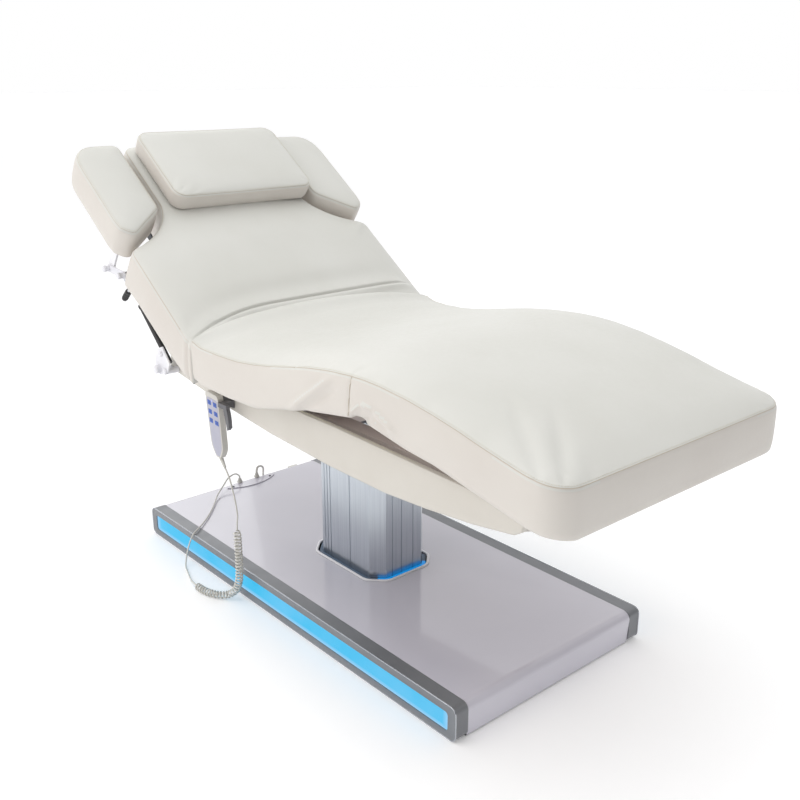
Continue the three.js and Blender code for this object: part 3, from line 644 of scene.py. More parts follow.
def creases(points, outline, marks, skin=0.6):
    """Presses folds into the side bands: each mark is (x0, z0, x1, z1, width, height)."""
    normal = inward(outline)
    nearest = np.array([np.argmin(np.linalg.norm(outline - p[:2], axis=1)) for p in points])
    out = -normal[nearest]
    beside = np.linalg.norm(points[:, :2] - outline[nearest], axis=1) < 14
    beside &= np.abs(out[:, 1]) > skin
    for x0, z0, x1, z1, width, height in marks:
        a, d = np.array((x0, z0), float), np.array((x1 - x0, z1 - z0), float)
        rel = points[:, [0, 2]] - a
        t = rel @ d / (d @ d)
        off = (rel[:, 0] * d[1] - rel[:, 1] * d[0]) / np.linalg.norm(d)
        push = height * np.exp(-(off / width) ** 2) * smoothstep(t, -0.12, 0.2)
        push = push * (1 - smoothstep(t, 0.75, 1.15))
        points[beside, :2] += out[beside] * push[beside, None]
    return points


def placed(points, turn=0.0, origin=(0, 0, 0)):
    """Millimetre points turned about +Y, moved to their origin and given in metres."""
    p = np.array(points, float)
    a = math.radians(turn)
    x = p[:, 0] * math.cos(a) + p[:, 2] * math.sin(a)
    z = p[:, 2] * math.cos(a) - p[:, 0] * math.sin(a)
    return MM * (np.column_stack([x, p[:, 1], z]) + np.array(origin))


def raised(points):
    """Points of the back section, drawn flat on its board and turned up with it."""
    return placed(points, BACK["turn"], BACK["origin"])


soft = []        # (piece, movement cap) of each pad that the cloth step rounds out


def keep_seams(piece, seam_count, fixed):
    """Marks the points that the cloth step leaves where they are."""
    group = piece.vertex_groups.new(name="seams")
    group.add([int(i) for i in range(seam_count)], 1.0, "REPLACE")
    group.add([int(i) for i in fixed], 1.0, "REPLACE")


def round_out(pieces, pressure=2.0, frames=14):
    """Cloth with air pressure inside each pad, with the seams held; the result is applied to the meshes."""
    scene = bpy.context.scene
    settings = {"quality": 5, "mass": 0.3, "tension_stiffness": 30, "compression_stiffness": 30,
                "shear_stiffness": 12, "bending_stiffness": 4, "use_pressure": True,
                "uniform_pressure_force": pressure, "vertex_group_mass": "seams"}
    for piece, _ in pieces:
        cloth = piece.modifiers.new("air", "CLOTH")
        for name, value in settings.items():
            setattr(cloth.settings, name, value)
        cloth.settings.effector_weights.gravity = 0
        cloth.point_cache.frame_start = 1
        cloth.point_cache.frame_end = frames
    for number in range(1, frames + 1):
        scene.frame_set(number)
    graph = bpy.context.evaluated_depsgraph_get()
    for piece, cap in pieces:
        count = len(piece.data.vertices)
        rest = np.empty(count * 3)
        piece.data.vertices.foreach_get("co", rest)
        moved = np.empty(count * 3)
        piece.evaluated_get(graph).data.vertices.foreach_get("co", moved)
        rest, moved = rest.reshape(-1, 3), moved.reshape(-1, 3)
        step = moved - rest
        size = np.linalg.norm(step, axis=1)[:, None]
        limit = cap * MM
        step *= np.minimum(1, limit * np.tanh(size / limit) / np.maximum(size, 1e-9))
        piece.data.vertices.foreach_set("co", (rest + step).ravel())
        piece.modifiers.clear()
        piece.data.update()
    scene.frame_set(1)


def cut_at(piece, x, keep_low):
    """Keeps one side of a piece that is cut across the bed at x metres."""
    mesh = bmesh.new()
    mesh.from_mesh(piece.data)
    everything = mesh.verts[:] + mesh.edges[:] + mesh.faces[:]
    bmesh.ops.bisect_plane(mesh, geom=everything, dist=1e-7, plane_co=(x, 0, 0), plane_no=(1, 0, 0),
                           clear_outer=keep_low, clear_inner=not keep_low)
    mesh.to_mesh(piece.data)
    mesh.free()
    piece.data.update()


long_edge = long_outline()
long_reach = extended(long_edge, long_edge[:, 0] < START + 0.01, -460)
points, faces = pad(long_edge, long_low, long_seam, long_crown, bulge=2.5, spacing=12.0, edge=4.0,
                    columns=(215.0,), reach=long_reach, rows=20)
SIDE_FOLDS = [
    (196, 616, 335, 712, 8, 7.0), (210, 606, 350, 692, 7, -5.0), (176, 606, 230, 628, 8, 3.0),
    (383, 640, 394, 738, 2.6, -3.0), (390, 652, 428, 682, 5, 6.5), (428, 682, 462, 682, 6, 7.0),
    (462, 682, 520, 652, 7, 6.0), (402, 640, 452, 662, 7, -7.0), (452, 662, 500, 646, 7, -5.0),
]
points = creases(points, long_edge, SIDE_FOLDS)
long_cover = new_mesh("seat_leg_cover", placed(points), faces)
fixed = np.flatnonzero(points[:, 2] < long_low(points[:, 0], points[:, 1]) + 12)
keep_seams(long_cover, len(long_edge), fixed)
soft.append((long_cover, 5.0))

# The back cover, drawn flat on the back board and turned up with it.
BACK = {"turn": 35, "origin": (-268, 0, 566), "foot": -6, "seam": 118, "low": 8.2}
SHOULDER, HEAD, HEAD_HALF, NECK = 340, 730, 218, 150


def back_outline():
    half = HALF_WIDTH
    far = [(BACK["foot"], half), (24 - SHOULDER, half)]
    far += curve_to((24 - SHOULDER, half), (-SHOULDER, half), (-SHOULDER - 8, half - 30))
    far += curve_to((-SHOULDER - 8, half - 30), (-SHOULDER - 60, HEAD_HALF + 17),
                    (-SHOULDER - NECK, HEAD_HALF), 14)
    far += [(-SHOULDER - NECK, HEAD_HALF), (34 - HEAD, HEAD_HALF)]
    far += curve_to((34 - HEAD, HEAD_HALF), (-HEAD, HEAD_HALF), (-HEAD, HEAD_HALF - 34))
    far.append((-HEAD, HEAD_HALF - 34))
    near = [(x, -y) for x, y in reversed(far)]
    keep = []
    for p in far + near:
        if not keep or np.linalg.norm(np.subtract(p, keep[-1])) > 0.5:
            keep.append(tuple(p))
    coarse = resample(keep, 11.0)
    out = []
    for a, b in zip(coarse, np.roll(coarse, -1, axis=0)):
        out.append(a)
        if abs(a[1]) > 370 and min(a[0], b[0]) > BACK["foot"] - 45:
            out += [a + (b - a) / 3, a + (b - a) * 2 / 3]
    return np.array(out)


def back_seam(x, y):
    return np.full(np.shape(x), float(BACK["seam"]))


def roll_line(y):
    """Where the small roll at the foot of the back meets the rest of it."""
    return -75 + 60 * np.clip((-np.asarray(y, float) - 100) / 268, 0, 1.05) ** 2.2


def back_crown(x, y):
    up = BACK["foot"] - np.asarray(x, float)
    torso = smoothstep(up, 300, 420)
    above = roll_line(y) - np.asarray(x, float)
    groove = -7.5 * hump(above, 0, 3.2) + 2.5 * hump(above, -12, 7) - 5.5 * hump(above, 42, 30)
    return 16.0 * (1 - torso) + 5.5 * torso + groove


def back_low(x, y):
    side = smoothstep(np.abs(y), 300, 350)
    edge = np.interp(x, [-320, -250, -96, -40, -6], [BACK["low"], 16, 19, 27, 40])
    return BACK["low"] * (1 - side) + edge * side


back_edge = back_outline()
foot = BACK["foot"]
band = [(roll_line(y) + d, y) for y in np.arange(-368, 369, 7.0)
        for d in (-9, -6, -4, -2, 0, 2, 4, 6, 9, 14)]
points, faces = pad(back_edge, back_low, back_seam, back_crown, bulge=3.0, spacing=12.0, edge=6.0,
                    extra=band, rows=16, reach=extended(back_edge, back_edge[:, 0] > foot - 0.01, 240))
gather = [(foot - 14, 20, foot - 18, 126, 3.2, -4.5), (foot - 5, 20, foot - 5, 124, 4, 1.5),
          (foot - 27, 30, foot - 30, 118, 5, 1.8)]
points = creases(points, back_edge, gather)
toward_seat = np.clip((points[:, 0] + 120) / (120 + foot), 0, 1)
lean = toward_seat * (1 - np.clip((points[:, 2] - 27) / 98, 0, 1))
fixed = np.flatnonzero((points[:, 2] < back_low(points[:, 0], points[:, 1]) + 10)
                       | (points[:, 0] > foot - 40))
points[:, 0] += 66 * lean
back_cover = new_mesh("back_cover", raised(points), faces)
keep_seams(back_cover, len(back_edge), fixed)
soft.append((back_cover, 5.0))

# Pillow and head wings.
PILLOW = {"x": -583, "y": 18, "length": 266, "width": 436, "corner": 34, "low": 131.0, "seam": 178.0}


def rounded_outline(cx, cy, length, width, corner, count=9, spacing=9.0):
    out = []
    for sx, sy, start in ((1, -1, -90), (1, 1, 0), (-1, 1, 90), (-1, -1, 180)):
        for a in np.linspace(start, start + 90, count):
            out.append((cx + sx * (length / 2 - corner) + corner * math.cos(math.radians(a)),
                        cy + sy * (width / 2 - corner) + corner * math.sin(math.radians(a))))
    return resample(out, spacing)


def level(z):
    return lambda x, y: np.full(np.shape(x), float(z))


pillow_edge = rounded_outline(PILLOW["x"], PILLOW["y"], PILLOW["length"], PILLOW["width"],
                              PILLOW["corner"])
points, faces = pad(pillow_edge, level(PILLOW["low"]), level(PILLOW["seam"]), level(7.0), bulge=3.0,
                    spacing=10.0, edge=4.0, soft_low=6.0, notch=1.6)
pillow = new_mesh("pillow_cover", raised(points), faces)
keep_seams(pillow, len(pillow_edge), np.flatnonzero(points[:, 2] < PILLOW["low"] + 3))
soft.append((pillow, 4.0))

WING = {"head": -706, "inner": 250, "outer": 388, "low": 58.0, "seam": 147.0}


def wing_outline(sign):
    w = WING
    p = [(-372, 346)]
    p += curve_to((-372, 346), (-362, w["outer"] - 26), (-392, w["outer"] - 4))[1:]
    p += [(-392, w["outer"] - 4), (-420, w["outer"])]
    p += curve_to((w["head"] + 86, w["outer"]), (w["head"], w["outer"]), (w["head"], w["outer"] - 74))
    p += curve_to((w["head"], w["inner"] + 26), (w["head"], w["inner"]), (w["head"] + 26, w["inner"]))
    p += curve_to((-466, w["inner"]), (-450, w["inner"]), (-440, 262))
    p.append((-440, 262))
    drawn = [(x, y * sign) for x, y in p]
    return resample(drawn if sign > 0 else drawn[::-1], 9.0)


wings = {}
wing_edges = {}
for side, sign in SIDES:
    wing_edges[side] = wing_outline(sign)
    points, faces = pad(wing_edges[side], level(WING["low"]), level(WING["seam"]), level(8.0), bulge=3.5,
                        spacing=10.0, edge=5.0, soft_low=14.0, notch=1.6)
    wings[side] = new_mesh(f"wing_cover_{side}", raised(points), faces)
    keep_seams(wings[side], len(wing_edges[side]), np.flatnonzero(points[:, 2] < WING["low"] + 3))
    soft.append((wings[side], 4.0))

round_out(soft)

# The long cover is cut on the rigid thigh into two halves.
THIGH_CUT = 0.215
leg_cover = long_cover.copy()
leg_cover.data = long_cover.data.copy()
leg_cover.name = "leg_cover"
bpy.context.scene.collection.objects.link(leg_cover)
seat_cover = long_cover
seat_cover.name = "seat_cover"
cut_at(seat_cover, THIGH_CUT, True)
cut_at(leg_cover, THIGH_CUT, False)


def on_cover(covers, points, lift=0.0003, reach=0.02):
    """Each point moved to the nearest spot of the covers, then lifted off it a little."""
    out = []
    for p in points:
        best = None
        for cover in covers:
            hit, spot, normal, _ = cover.closest_point_on_mesh(Vector(p), distance=reach)
            if hit and (best is None or (spot - Vector(p)).length < best[0]):
                best = ((spot - Vector(p)).length, spot + normal * lift)
        out.append(tuple(best[1]) if best else tuple(p))
    return np.array(out)


def sewn(name, line, covers, closed=False, pitch=0.0055, width=0.00045):
    """A row of stitches laid on a cover along a line in metres."""
    fitted = on_cover(covers, line)
    points, faces = stitches(name, fitted / MM, pitch / MM, width / MM, closed)
    piece = new_mesh(name, points * MM, faces)
    piece.data.materials.append(THREAD)
    return piece


def welt(name, line, covers, radius=0.0008):
    """A fine raised seam laid on a cover along a line in metres."""
    fitted = on_cover(covers, smooth_route(line, max(24, len(line))), 0.0)
    piece = tube(name, fitted, radius, 6)
    piece.data.materials.append(SEAM_LINE)
    return piece


def blend_seat(piece):
    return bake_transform(piece)


def blend_knee(piece):
    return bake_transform(piece)


def blend_back(piece):
    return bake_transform(piece)


def ride_on(body):
    return lambda piece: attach(piece, body)


# The sides of the pads take a slightly darker, warmer copy of the leather than their tops: painted shade
# for how the light falls on the sides.
SHADED_SIDE_SLOPE = 0.42    # a face whose normal leans toward the pad's up by less than this is a side
turn = math.radians(BACK["turn"])
PAD_UP = Vector((math.sin(turn), 0, math.cos(turn)))
for piece in (seat_cover, leg_cover, back_cover, pillow, *wings.values()):
    piece.vertex_groups.clear()
    dress(piece, IVORY)
    piece.data.materials.append(IVORY_PAINTED_SIDE_SHADE)
    up = Vector((0, 0, 1)) if piece in (seat_cover, leg_cover) else PAD_UP
    for face in piece.data.polygons:
        face.material_index = int(face.normal.dot(up) < SHADED_SIDE_SLOPE)
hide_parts("seat_pad", "thigh_pad")
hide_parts("leg_pad")
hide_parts("back_pad")
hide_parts("pillow")
for side, _ in SIDES:
    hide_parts(f"wing_pad_{side}")

# Rows of stitches beside the seams, laid on before the pillow and wing covers are bound to their bodies.
long_line = placed(seam_line(long_edge, long_seam, 4.5))
long_row = long_line[long_edge[:, 0] > START + 1]
seat_row = long_row[long_row[:, 0] < THIGH_CUT]
stitched = []
for side, sign in SIDES:
    part = seat_row[seat_row[:, 1] * sign > 0]
    part = part[np.argsort(part[:, 0])]
    stitched.append((sewn(f"seat_stitches_{side}", part, [seat_cover]), blend_seat))
leg_row = long_row[long_row[:, 0] >= THIGH_CUT]
stitched.append((sewn("leg_stitches", leg_row, [leg_cover]), blend_knee))
pillow_line = seam_line(pillow_edge, level(PILLOW["seam"]), 4.0)
pillow_band = np.column_stack([pillow_edge, np.full(len(pillow_edge), PILLOW["seam"] - 5.0)])
for name, line in (("pillow_stitches_top", pillow_line), ("pillow_stitches_band", pillow_band)):
    stitched.append((sewn(name, raised(line), [pillow], closed=True), ride_on("back")))
for side, _ in SIDES:
    row = raised(seam_line(wing_edges[side], level(WING["seam"]), 4.5, 5.0))
    stitched.append((sewn(f"wing_stitches_{side}", row, [wings[side]], closed=True),
                     ride_on(f"wing_{side}")))


def beside(outline, height):
    """A line just inside an outline and just above the seam that runs along it."""
    ring = outline + inward(outline) * 0.6
    return np.column_stack([ring, np.broadcast_to(height + 1.0, len(outline))])


# The seams themselves: round the top of each pad, and down the sides at the knee.
FINE_WELT = 0.0007
long_welt = placed(beside(long_edge, long_seam(*long_edge.T)))
along, across = long_edge.T
cut_x = THIGH_CUT / MM
for side, sign in SIDES:
    part = long_welt[(along > START - 0.01) & (across * sign > 0) & (along < cut_x + 0.01)]
    part = part[np.argsort(part[:, 0])]
    stitched.append((welt(f"seat_seam_{side}", part, [seat_cover]), blend_seat))
    knee = [(394 - 11 * t, sign * (half_width(KNEE) + 2.5), 731 - 86 * t) for t in np.linspace(0, 1, 24)]
    stitched.append((welt(f"knee_seam_{side}", placed(knee), [leg_cover], 0.0010), blend_knee))
stitched.append((welt("leg_seam", long_welt[along > cut_x - 0.01], [leg_cover]), blend_knee))
ringed = [("pillow_seam", pillow_edge, PILLOW["seam"], pillow, "back")]
ringed += [(f"wing_seam_{side}", wing_edges[side], WING["seam"], wings[side], f"wing_{side}")
           for side, _ in SIDES]
for name, edge, height, cover, body in ringed:
    ring = raised(beside(edge, height))
    stitched.append((welt(name, np.vstack([ring, ring[:1]]), [cover], FINE_WELT), ride_on(body)))
open_end = np.flatnonzero(back_edge[:, 0] < BACK["foot"] - 45)
first = int(np.argmax(np.diff(np.r_[open_end[-1] - len(back_edge), open_end]) > 1))
back_welt = raised(beside(back_edge, BACK["seam"]))[np.roll(open_end, -first)]
stitched.append((welt("back_seam", back_welt, [back_cover], FINE_WELT), blend_back))

for piece, bind in stitched:
    bind(piece)
blend_seat(seat_cover)
blend_knee(leg_cover)
blend_back(back_cover)
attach(pillow, "back")
for side, _ in SIDES:
    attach(wings[side], f"wing_{side}")

# Upholstered side boards, with a rolled upper edge, and the board across the foot end.
BOARDS = {"inner": 283, "thick": 15}
board_edge = resample([
    (-470, 546), (-430, 537), (-200, 505), (0, 487), (230, 476), (415, 475), (536, 483),
    (663, 496), (765, 512), (784, 524), (790, 545), (790, 556), (640, 563), (250, 571.5),
    (-455, 571.5), (-470, 562),
], 10.0)
for side, sign in SIDES:
    points, faces = pad(board_edge, level(0.3), level(BOARDS["thick"] - 3.0), level(0.6), bulge=0.6,
                        spacing=22.0, edge=2.2, soft_low=2.0, notch=0.0)
    world = np.column_stack([points[:, 0], sign * (BOARDS["inner"] + points[:, 2]), points[:, 1]])
    cover = new_mesh(f"side_board_cover_{side}", MM * world, [f[::sign] for f in faces])
    dress(cover, IVORY_SIDE, "bed_frame")
    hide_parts(f"side_board_{side}")
    roll = [(-466, 569.5), (-455, 571.8), (200, 571.2), (640, 560.8), (786, 553.6)]
    path = smooth_route([(x, sign * (BOARDS["inner"] + 7), z) for x, z in roll], 90)
    dress(tube(f"board_piping_{side}", MM * path, 1.8 * MM, 10), PIPING, "bed_frame")

FOOT_BOARD = {"x": 777, "z": 531, "half": 281, "depth": 7, "height": 15, "rings": 40, "around": 20}
foot_points = []
for y in np.linspace(-FOOT_BOARD["half"], FOOT_BOARD["half"], FOOT_BOARD["rings"]):
    end = 1 - 0.25 * smoothstep(abs(y), FOOT_BOARD["half"] - 13, FOOT_BOARD["half"])
    for k in range(FOOT_BOARD["around"]):
        a = 2 * math.pi * k / FOOT_BOARD["around"]
        c, s = math.cos(a), math.sin(a)
        x = FOOT_BOARD["x"] + FOOT_BOARD["depth"] * end * math.copysign(abs(c) ** 0.5, c)
        z = FOOT_BOARD["z"] + FOOT_BOARD["height"] * end * math.copysign(abs(s) ** 0.35, s)
        foot_points.append((x, y, z))
# Its rings run the other way round from a tube's. Only the two end caps are turned over, and the
# sides still face inward.
foot_faces = [f if len(f) == 4 else f[::-1]
              for f in ring_faces(FOOT_BOARD["rings"], FOOT_BOARD["around"])]
foot_cover = new_mesh("foot_board_cover", MM * np.array(foot_points), foot_faces)
dress(foot_cover, IVORY_SIDE, "bed_frame")
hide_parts("foot_board")


# ---------------------------------------------------------------- CAD nodes
FINISH = (
    (DARK, "base_plate column_head_plate back_frame"), (LACQUER, "base_cover cable_plate"),
    (BOX_GREY, "control_box leg_actuator_body"), (ALUMINIUM, "column_outer column_middle column_inner"),
    (CORD_GREY, "handset_gland mains_gland handset_boot mains_plug"), (SHELL_GREY, "handset_shell"),
    (HOOK_GREY, "handset_hook"), (TAUPE, "seat_frame"), (LINING, "seat_board thigh_board leg_board"),
    (CHROME, "leg_actuator_rod strut_rod_near strut_rod_far"), (TRIM, "side_trim_near side_trim_far"),
    (WHITE, "column_trim_ring anchor_plate_near anchor_plate_far wing_bracket_near wing_bracket_far"),
    (WHITE, "wing_link_near wing_link_far"), (LIGHT_BLUE, "light_panel_near light_panel_far"),
    (BLACK, "strut_tube_near strut_tube_far release_handle_near release_handle_far"),
    (KEY_BLUE, "key_1_left key_1_right key_2_left key_2_right key_3_left key_3_right"),
)
for material, names in FINISH:
    for name in names.split():
        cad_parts[name].data.materials.clear()
        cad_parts[name].data.materials.append(material)


# ---------------------------------------------------------------- small parts
def capsule_profile(radius, height, soft=0.3, count=5):
    """A turned cap: straight sides with a rounded top."""
    out = [(radius, 0.0)]
    for k in range(count + 1):
        a = k / count * math.pi / 2
        out.append((radius - soft * radius * (1 - math.cos(a)), height - soft * radius * (1 - math.sin(a))))
    out.append((0.0004, height))
    return out


def screw(name, place, axis, body, radius=0.0035, material=None):
    profile = [(radius, -0.0004), (radius, 0.0006), (radius * 0.82, 0.0014),
               (radius * 0.42, 0.0017), (radius * 0.4, 0.0009), (0.0003, 0.0009)]
    return dress(lathe(name, profile, place, axis, 24), material or CHROME, body)


# Chamfer along the outer edge of each side trim: a real chamfer, drawn as a lighter metal tube whose colour
# is a painted highlight.
for side, sign in SIDES:
    edge = rounded_outline(0, 41, 1272, 79, 16)
    path = np.column_stack([edge[:, 0], np.full(len(edge), sign * 299.6), edge[:, 1]])
    dress(tube(f"trim_edge_{side}", MM * path, 1.5 * MM, 8, closed=True), CHAMFER_HIGHLIGHT, "base")

# Glowing strip in the gap round the column.
COLUMN = {"x": 8, "half_length": 126, "half_width": 88, "chamfer": 30}


def column_outline(out):
    l, w = COLUMN["half_length"] + out, COLUMN["half_width"] + out
    c = COLUMN["chamfer"] + out * 0.6
    corners = [(l, w - c), (l - c, w), (c - l, w), (-l, w - c),
               (-l, c - w), (c - l, -w), (l - c, -w), (l, c - w)]
    return np.array([(COLUMN["x"] + x, y) for x, y in corners])


def flat_ring(name, inner, outer, low, high, keep=None):
    """A flat ring between two outlines of equal length; keep(x, y) may leave parts of it out."""
    count = len(inner)
    rings = [(inner, high), (outer, high), (outer, low), (inner, low)]
    ring_points = [(x, y, z) for ring, z in rings for x, y in ring]
    used = [k for k in range(count)
            if keep is None or keep(*((inner[k] + outer[(k + 1) % count]) / 2))]
    faces = [((a + 1) % 4 * count + k, (a + 1) % 4 * count + (k + 1) % count, a * count + (k + 1) % count,
              a * count + k) for a in range(4) for k in used]
    return new_mesh(name, MM * np.array(ring_points), faces, False)


def fine(outline, pieces=8):
    """The same outline with each side split into equal pieces."""
    return np.array([a + (b - a) * k / pieces
                     for a, b in zip(outline, np.roll(outline, -1, axis=0)) for k in range(pieces)])


def at_foot(x, y):
    return x > COLUMN["x"] + 118


glow = flat_ring("column_glow_strip", fine(column_outline(2.0)), fine(column_outline(12.0)),
                 78, 81.0, at_foot)
dress(glow, RING_BLUE, "base")
seal = flat_ring("column_seal", fine(column_outline(0.8)), fine(column_outline(10.5)), 78, 80.4,
                 lambda x, y: not at_foot(x, y))
dress(seal, SEAL, "base")


def rim_outline(out):
    """The rim round the column: chamfered like the column, with its corners rounded off."""
    sharp = column_outline(out)
    round_by = 0.42
    points = []
    for before, corner, after in zip(np.roll(sharp, 1, axis=0), sharp, np.roll(sharp, -1, axis=0)):
        back, on = before - corner, after - corner
        reach = min(14.0, np.linalg.norm(back) * round_by, np.linalg.norm(on) * round_by)
        a = corner + back / np.linalg.norm(back) * reach
        b = corner + on / np.linalg.norm(on) * reach
        points += curve_to(a, corner, b, 8) + [b]
    return np.array(points)


rim_profile = [(-14.6, 81.4), (-14.6, 84.2), (-15.8, 84.9), (-18.6, 84.9), (-20.6, 84.2), (-21.0, 81.4)]
rim_points = [(x, y, z) for d, z in rim_profile for x, y in rim_outline(-d)]
rim_faces = ring_faces(6, len(rim_points) // 6, closed=True)
rim = new_mesh("column_rim", MM * np.array(rim_points), [f[::-1] for f in rim_faces])
dress(rim, WHITE, "base")
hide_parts("column_trim_ring")

for number, (x, y) in enumerate([(-599, -48), (-599, 84)]):
    screw(f"cable_plate_screw_{number}", (x * MM, y * MM, 83.9 * MM), (0, 0, 1), "base", 0.0036, HOOK_GREY)


def on_back(x, y, z):
    return tuple(raised([(x, y, z)])[0])


# Pivot caps and bolts of the head wings, release handles and struts, in the back's own frame.
for side, sign in SIDES:
    out = (0, sign, 0)
    for name, x, z in (("wing_pivot", -449, -49), ("link_pivot", -378, -8)):
        cap = lathe(f"{name}_cap_{side}", capsule_profile(0.0088, 0.0075, 0.5),
                    on_back(x, sign * 360, z), out)
        dress(cap, WHITE, f"wing_link_{side}")
    for number, x in enumerate((-545, -500)):
        screw(f"wing_bracket_screw_{side}_{number}", on_back(x, sign * 346.2, 54.5), out,
              f"wing_{side}", 0.0022)
    caps = ((-450, 343.2, 549, 0.0118), (-418, 334.2, 548, 0.0085), (-434, 334.2, 592, 0.007))
    for number, (x, depth, z, radius) in enumerate(caps):
        cap = lathe(f"anchor_cap_{side}_{number}", capsule_profile(radius, 0.006, 0.5),
                    (x * MM, sign * depth * MM, z * MM), out)
        dress(cap, WHITE, "bed_frame")
    body = f"release_handle_{side}"
    lever = Matrix.Rotation(math.radians(BACK["turn"] + 14), 3, "Y")
    hub = Vector(on_back(-336, sign * 345, -6))
    down = lever @ Vector((0, 0, -1))
    neck = lathe(f"release_neck_{side}",
                 [(0.0046, 0.0), (0.0046, 0.015), (0.0052, 0.0165), (0.0052, 0.0185)],
                 hub + down * 0.008, down, 20)
    dress(neck, CHROME, body)
    grip = [(0.0060, 0.0), (0.0080, 0.0015), (0.0084, 0.005)]
    for ring in range(5):
        start = 0.008 + ring * 0.005
        grip += [(0.0086, start), (0.0079, start + 0.0012), (0.0079, start + 0.0024),
                 (0.0087, start + 0.0036)]
    grip += [(0.0084, 0.036), (0.0070, 0.0405), (0.0040, 0.0425), (0.0004, 0.043)]
    dress(lathe(f"release_grip_{side}", grip, hub + down * 0.0255, down, 28), BLACK, body)
    strut_turn = Matrix.Rotation(math.radians(BACK["turn"] + 7.9), 3, "Y")
    start = Vector(on_back(-400, sign * 320, -45)) + strut_turn @ Vector((0.0905, 0, 0))
    collar = lathe(f"strut_collar_{side}",
                   [(0.0053, 0.0), (0.0084, 0.0006), (0.0088, 0.003), (0.0088, 0.008), (0.0080, 0.010)],
                   start, strut_turn @ Vector((1, 0, 0)), 24)
    dress(collar, BLACK, f"strut_tube_{side}")

# Handset: raised face, lamp, and a cap and a mark on each key.
HANDSET = Matrix.Translation((-0.191, -0.327, 0.546))
for turn, axis in ((4, "X"), (1.5, "Y"), (-2, "Z")):
    HANDSET = HANDSET @ Matrix.Rotation(math.radians(turn), 4, axis)
HAND = {"width": 62, "length": 172, "depth": 15}


def in_handset(points):
    return [tuple(HANDSET @ (Vector(p) * MM)) for p in points]


def face_outline(inset, top=0.0):
    """The outline of the handset's face, inset from its edge and cut off top below its upper end."""
    w, l = HAND["width"] / 2 - inset, HAND["length"] - inset
    out = curve_to((w - 10, -inset - top), (w, -inset - top), (w, -10 - inset - top), 6)
    out += [(w, -10 - inset - top)]
    out += curve_to((w - 2, 40 - l), (w - 3, 20 - l), (8, -l), 10)
    out += [(8, -l)]
    left = [(-x, z) for x, z in reversed(out)]
    return resample([(float(x), float(z)) for x, z in out + left], 3.0)[::-1]


def on_face(name, outline, low, high, material, body):
    """A thin rounded slab standing on the handset's face, from low to high above it."""
    front = HAND["depth"] / 2
    points, faces = pad(outline, level(front + low), level(front + high), level(0.1), bulge=0.05,
                        spacing=5.0, edge=0.25, soft_low=0.05, notch=0.15, rings=(0.3, 0.7, 1.4))
    piece = new_mesh(name, in_handset([(x, -y, z) for x, z, y in points]), faces)
    bm = bmesh.new()
    bm.from_mesh(piece.data)
    bmesh.ops.recalc_face_normals(bm, faces=bm.faces)
    bm.to_mesh(piece.data)
    bm.free()
    return dress(piece, material, body)


on_face("handset_face_plate", face_outline(4.5, 9.0), -0.3, 0.35, FACE_GREY, "bed_frame")
KEYS = {"rows": (-27, -51, -75), "columns": (("left", -13.5), ("right", 13.5)),
        "width": 15.4, "height": 11.4, "mark": 4.6}
for number, z in enumerate(KEYS["rows"]):
    for side, x in KEYS["columns"]:
        key = f"key_{number + 1}_{side}"
        outline = rounded_outline(x, z, KEYS["width"], KEYS["height"], 2.0, 5, 1.5)
        on_face(f"{key}_cap", outline, 0.1, 1.3, KEY_BLUE, key)
        mark = rounded_outline(x, z, KEYS["mark"], KEYS["mark"], 2.2, 5, 0.9)
        on_face(f"{key}_mark", mark, 1.2, 1.5, KEY_DARK, key)
OUT = HANDSET.to_3x3() @ Vector((0, -1, 0))
lamp = lathe("handset_lamp", [(0.0034, 0.0), (0.0034, 0.0008), (0.0026, 0.0014), (0.0004, 0.0017)],
             in_handset([(0, -HAND["depth"] / 2 - 0.3, -19.5)])[0], OUT, 28)
dress(lamp, LAMP, "bed_frame")

# ---------------------------------------------------------------- floor and light
FLOOR = 60.0
corners = [(-FLOOR, -FLOOR, 0), (FLOOR, -FLOOR, 0), (FLOOR, FLOOR, 0), (-FLOOR, FLOOR, 0)]
floor = new_mesh("floor", corners, [(0, 1, 2, 3)], False)
floor_paint = plastic("studio_floor", (250, 250, 251), (249, 249, 250), (0.7, 0.8), 20.0, 0.0)
# The floor glows a little by itself, which brings it nearer to the photo's white.
floor_shader = next(node for node in floor_paint.node_tree.nodes if node.type == "BSDF_PRINCIPLED")
floor_shader.inputs["Emission Color"].default_value = (1.0, 1.0, 1.0, 1.0)
floor_shader.inputs["Emission Strength"].default_value = 0.15
floor.data.materials.append(floor_paint)


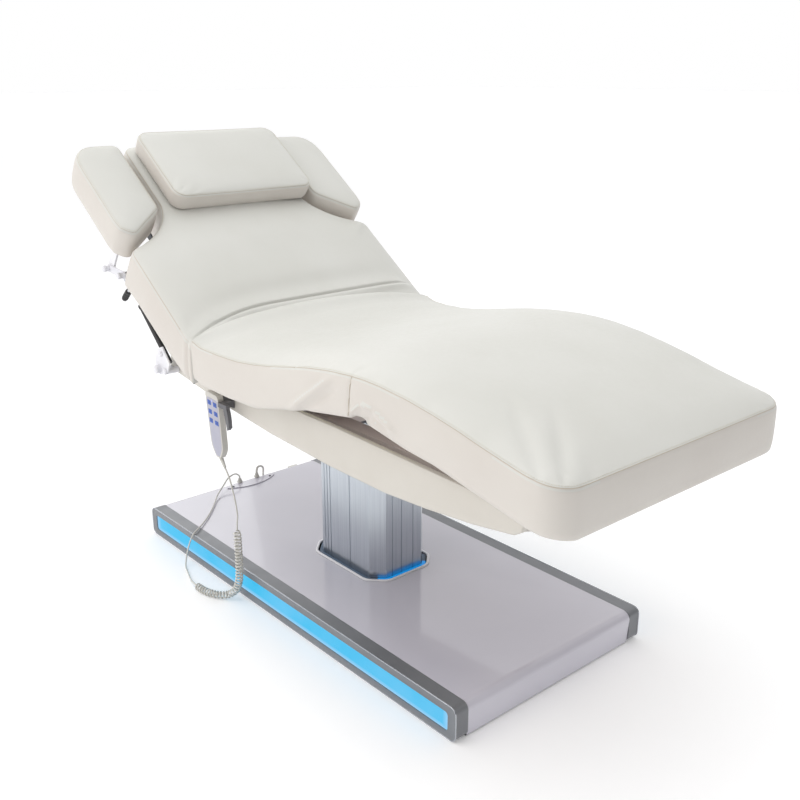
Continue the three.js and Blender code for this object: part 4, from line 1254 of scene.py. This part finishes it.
def softbox(name, place, aim, size, power, colour):
    light = bpy.data.lights.new(name, "AREA")
    light.shape = "RECTANGLE"
    light.size, light.size_y = size
    light.energy, light.color = power, colour
    holder = bpy.data.objects.new(name, light)
    holder.location = place
    holder.rotation_euler = (Vector(aim) - Vector(place)).to_track_quat("-Z", "Y").to_euler()
    bpy.context.scene.collection.objects.link(holder)


softbox("key_light", (-0.6, -3.0, 2.2), (0.1, 0.0, 0.5), (3.0, 1.8), 22, (1.0, 0.945, 0.91))
softbox("top_light", (-0.3, -0.2, 3.6), (0.0, 0.0, 0.4), (3.4, 3.0), 26, (0.965, 1.0, 0.975))
softbox("head_light", (-3.2, 0.6, 2.0), (-0.4, 0.0, 0.7), (2.0, 2.0), 10, (0.98, 0.99, 1.0))

# An even white room, dimmer low down towards the foot end, so that the end of the bed keeps its shape.
world = bpy.data.worlds.new("studio")
bpy.context.scene.world = world
world.use_nodes = True
room = world.node_tree


def room_span(source, low, high, at_low, at_high):
    node = room.nodes.new("ShaderNodeMapRange")
    node.interpolation_type = "SMOOTHSTEP"
    for name, value in (("From Min", low), ("From Max", high), ("To Min", at_low), ("To Max", at_high)):
        node.inputs[name].default_value = value
    room.links.new(source, node.inputs["Value"])
    return node.outputs["Result"]


heading = room.nodes.new("ShaderNodeTexCoord")
split = room.nodes.new("ShaderNodeSeparateXYZ")
room.links.new(heading.outputs["Generated"], split.inputs[0])
dim = room.nodes.new("ShaderNodeMath")
dim.operation = "MULTIPLY"
room.links.new(room_span(split.outputs["X"], 0.0, 0.55, 0.0, 0.7), dim.inputs[0])
room.links.new(room_span(split.outputs["Z"], 0.4, 0.85, 1.0, 0.0), dim.inputs[1])
left = room.nodes.new("ShaderNodeMath")
left.operation = "SUBTRACT"
left.inputs[0].default_value = 1.0
room.links.new(dim.outputs[0], left.inputs[1])
room.links.new(left.outputs[0], room.nodes["Background"].inputs["Strength"])
room.nodes["Background"].inputs["Color"].default_value = (1.0, 1.0, 1.0, 1)
bpy.context.scene.view_settings.view_transform = "Standard"
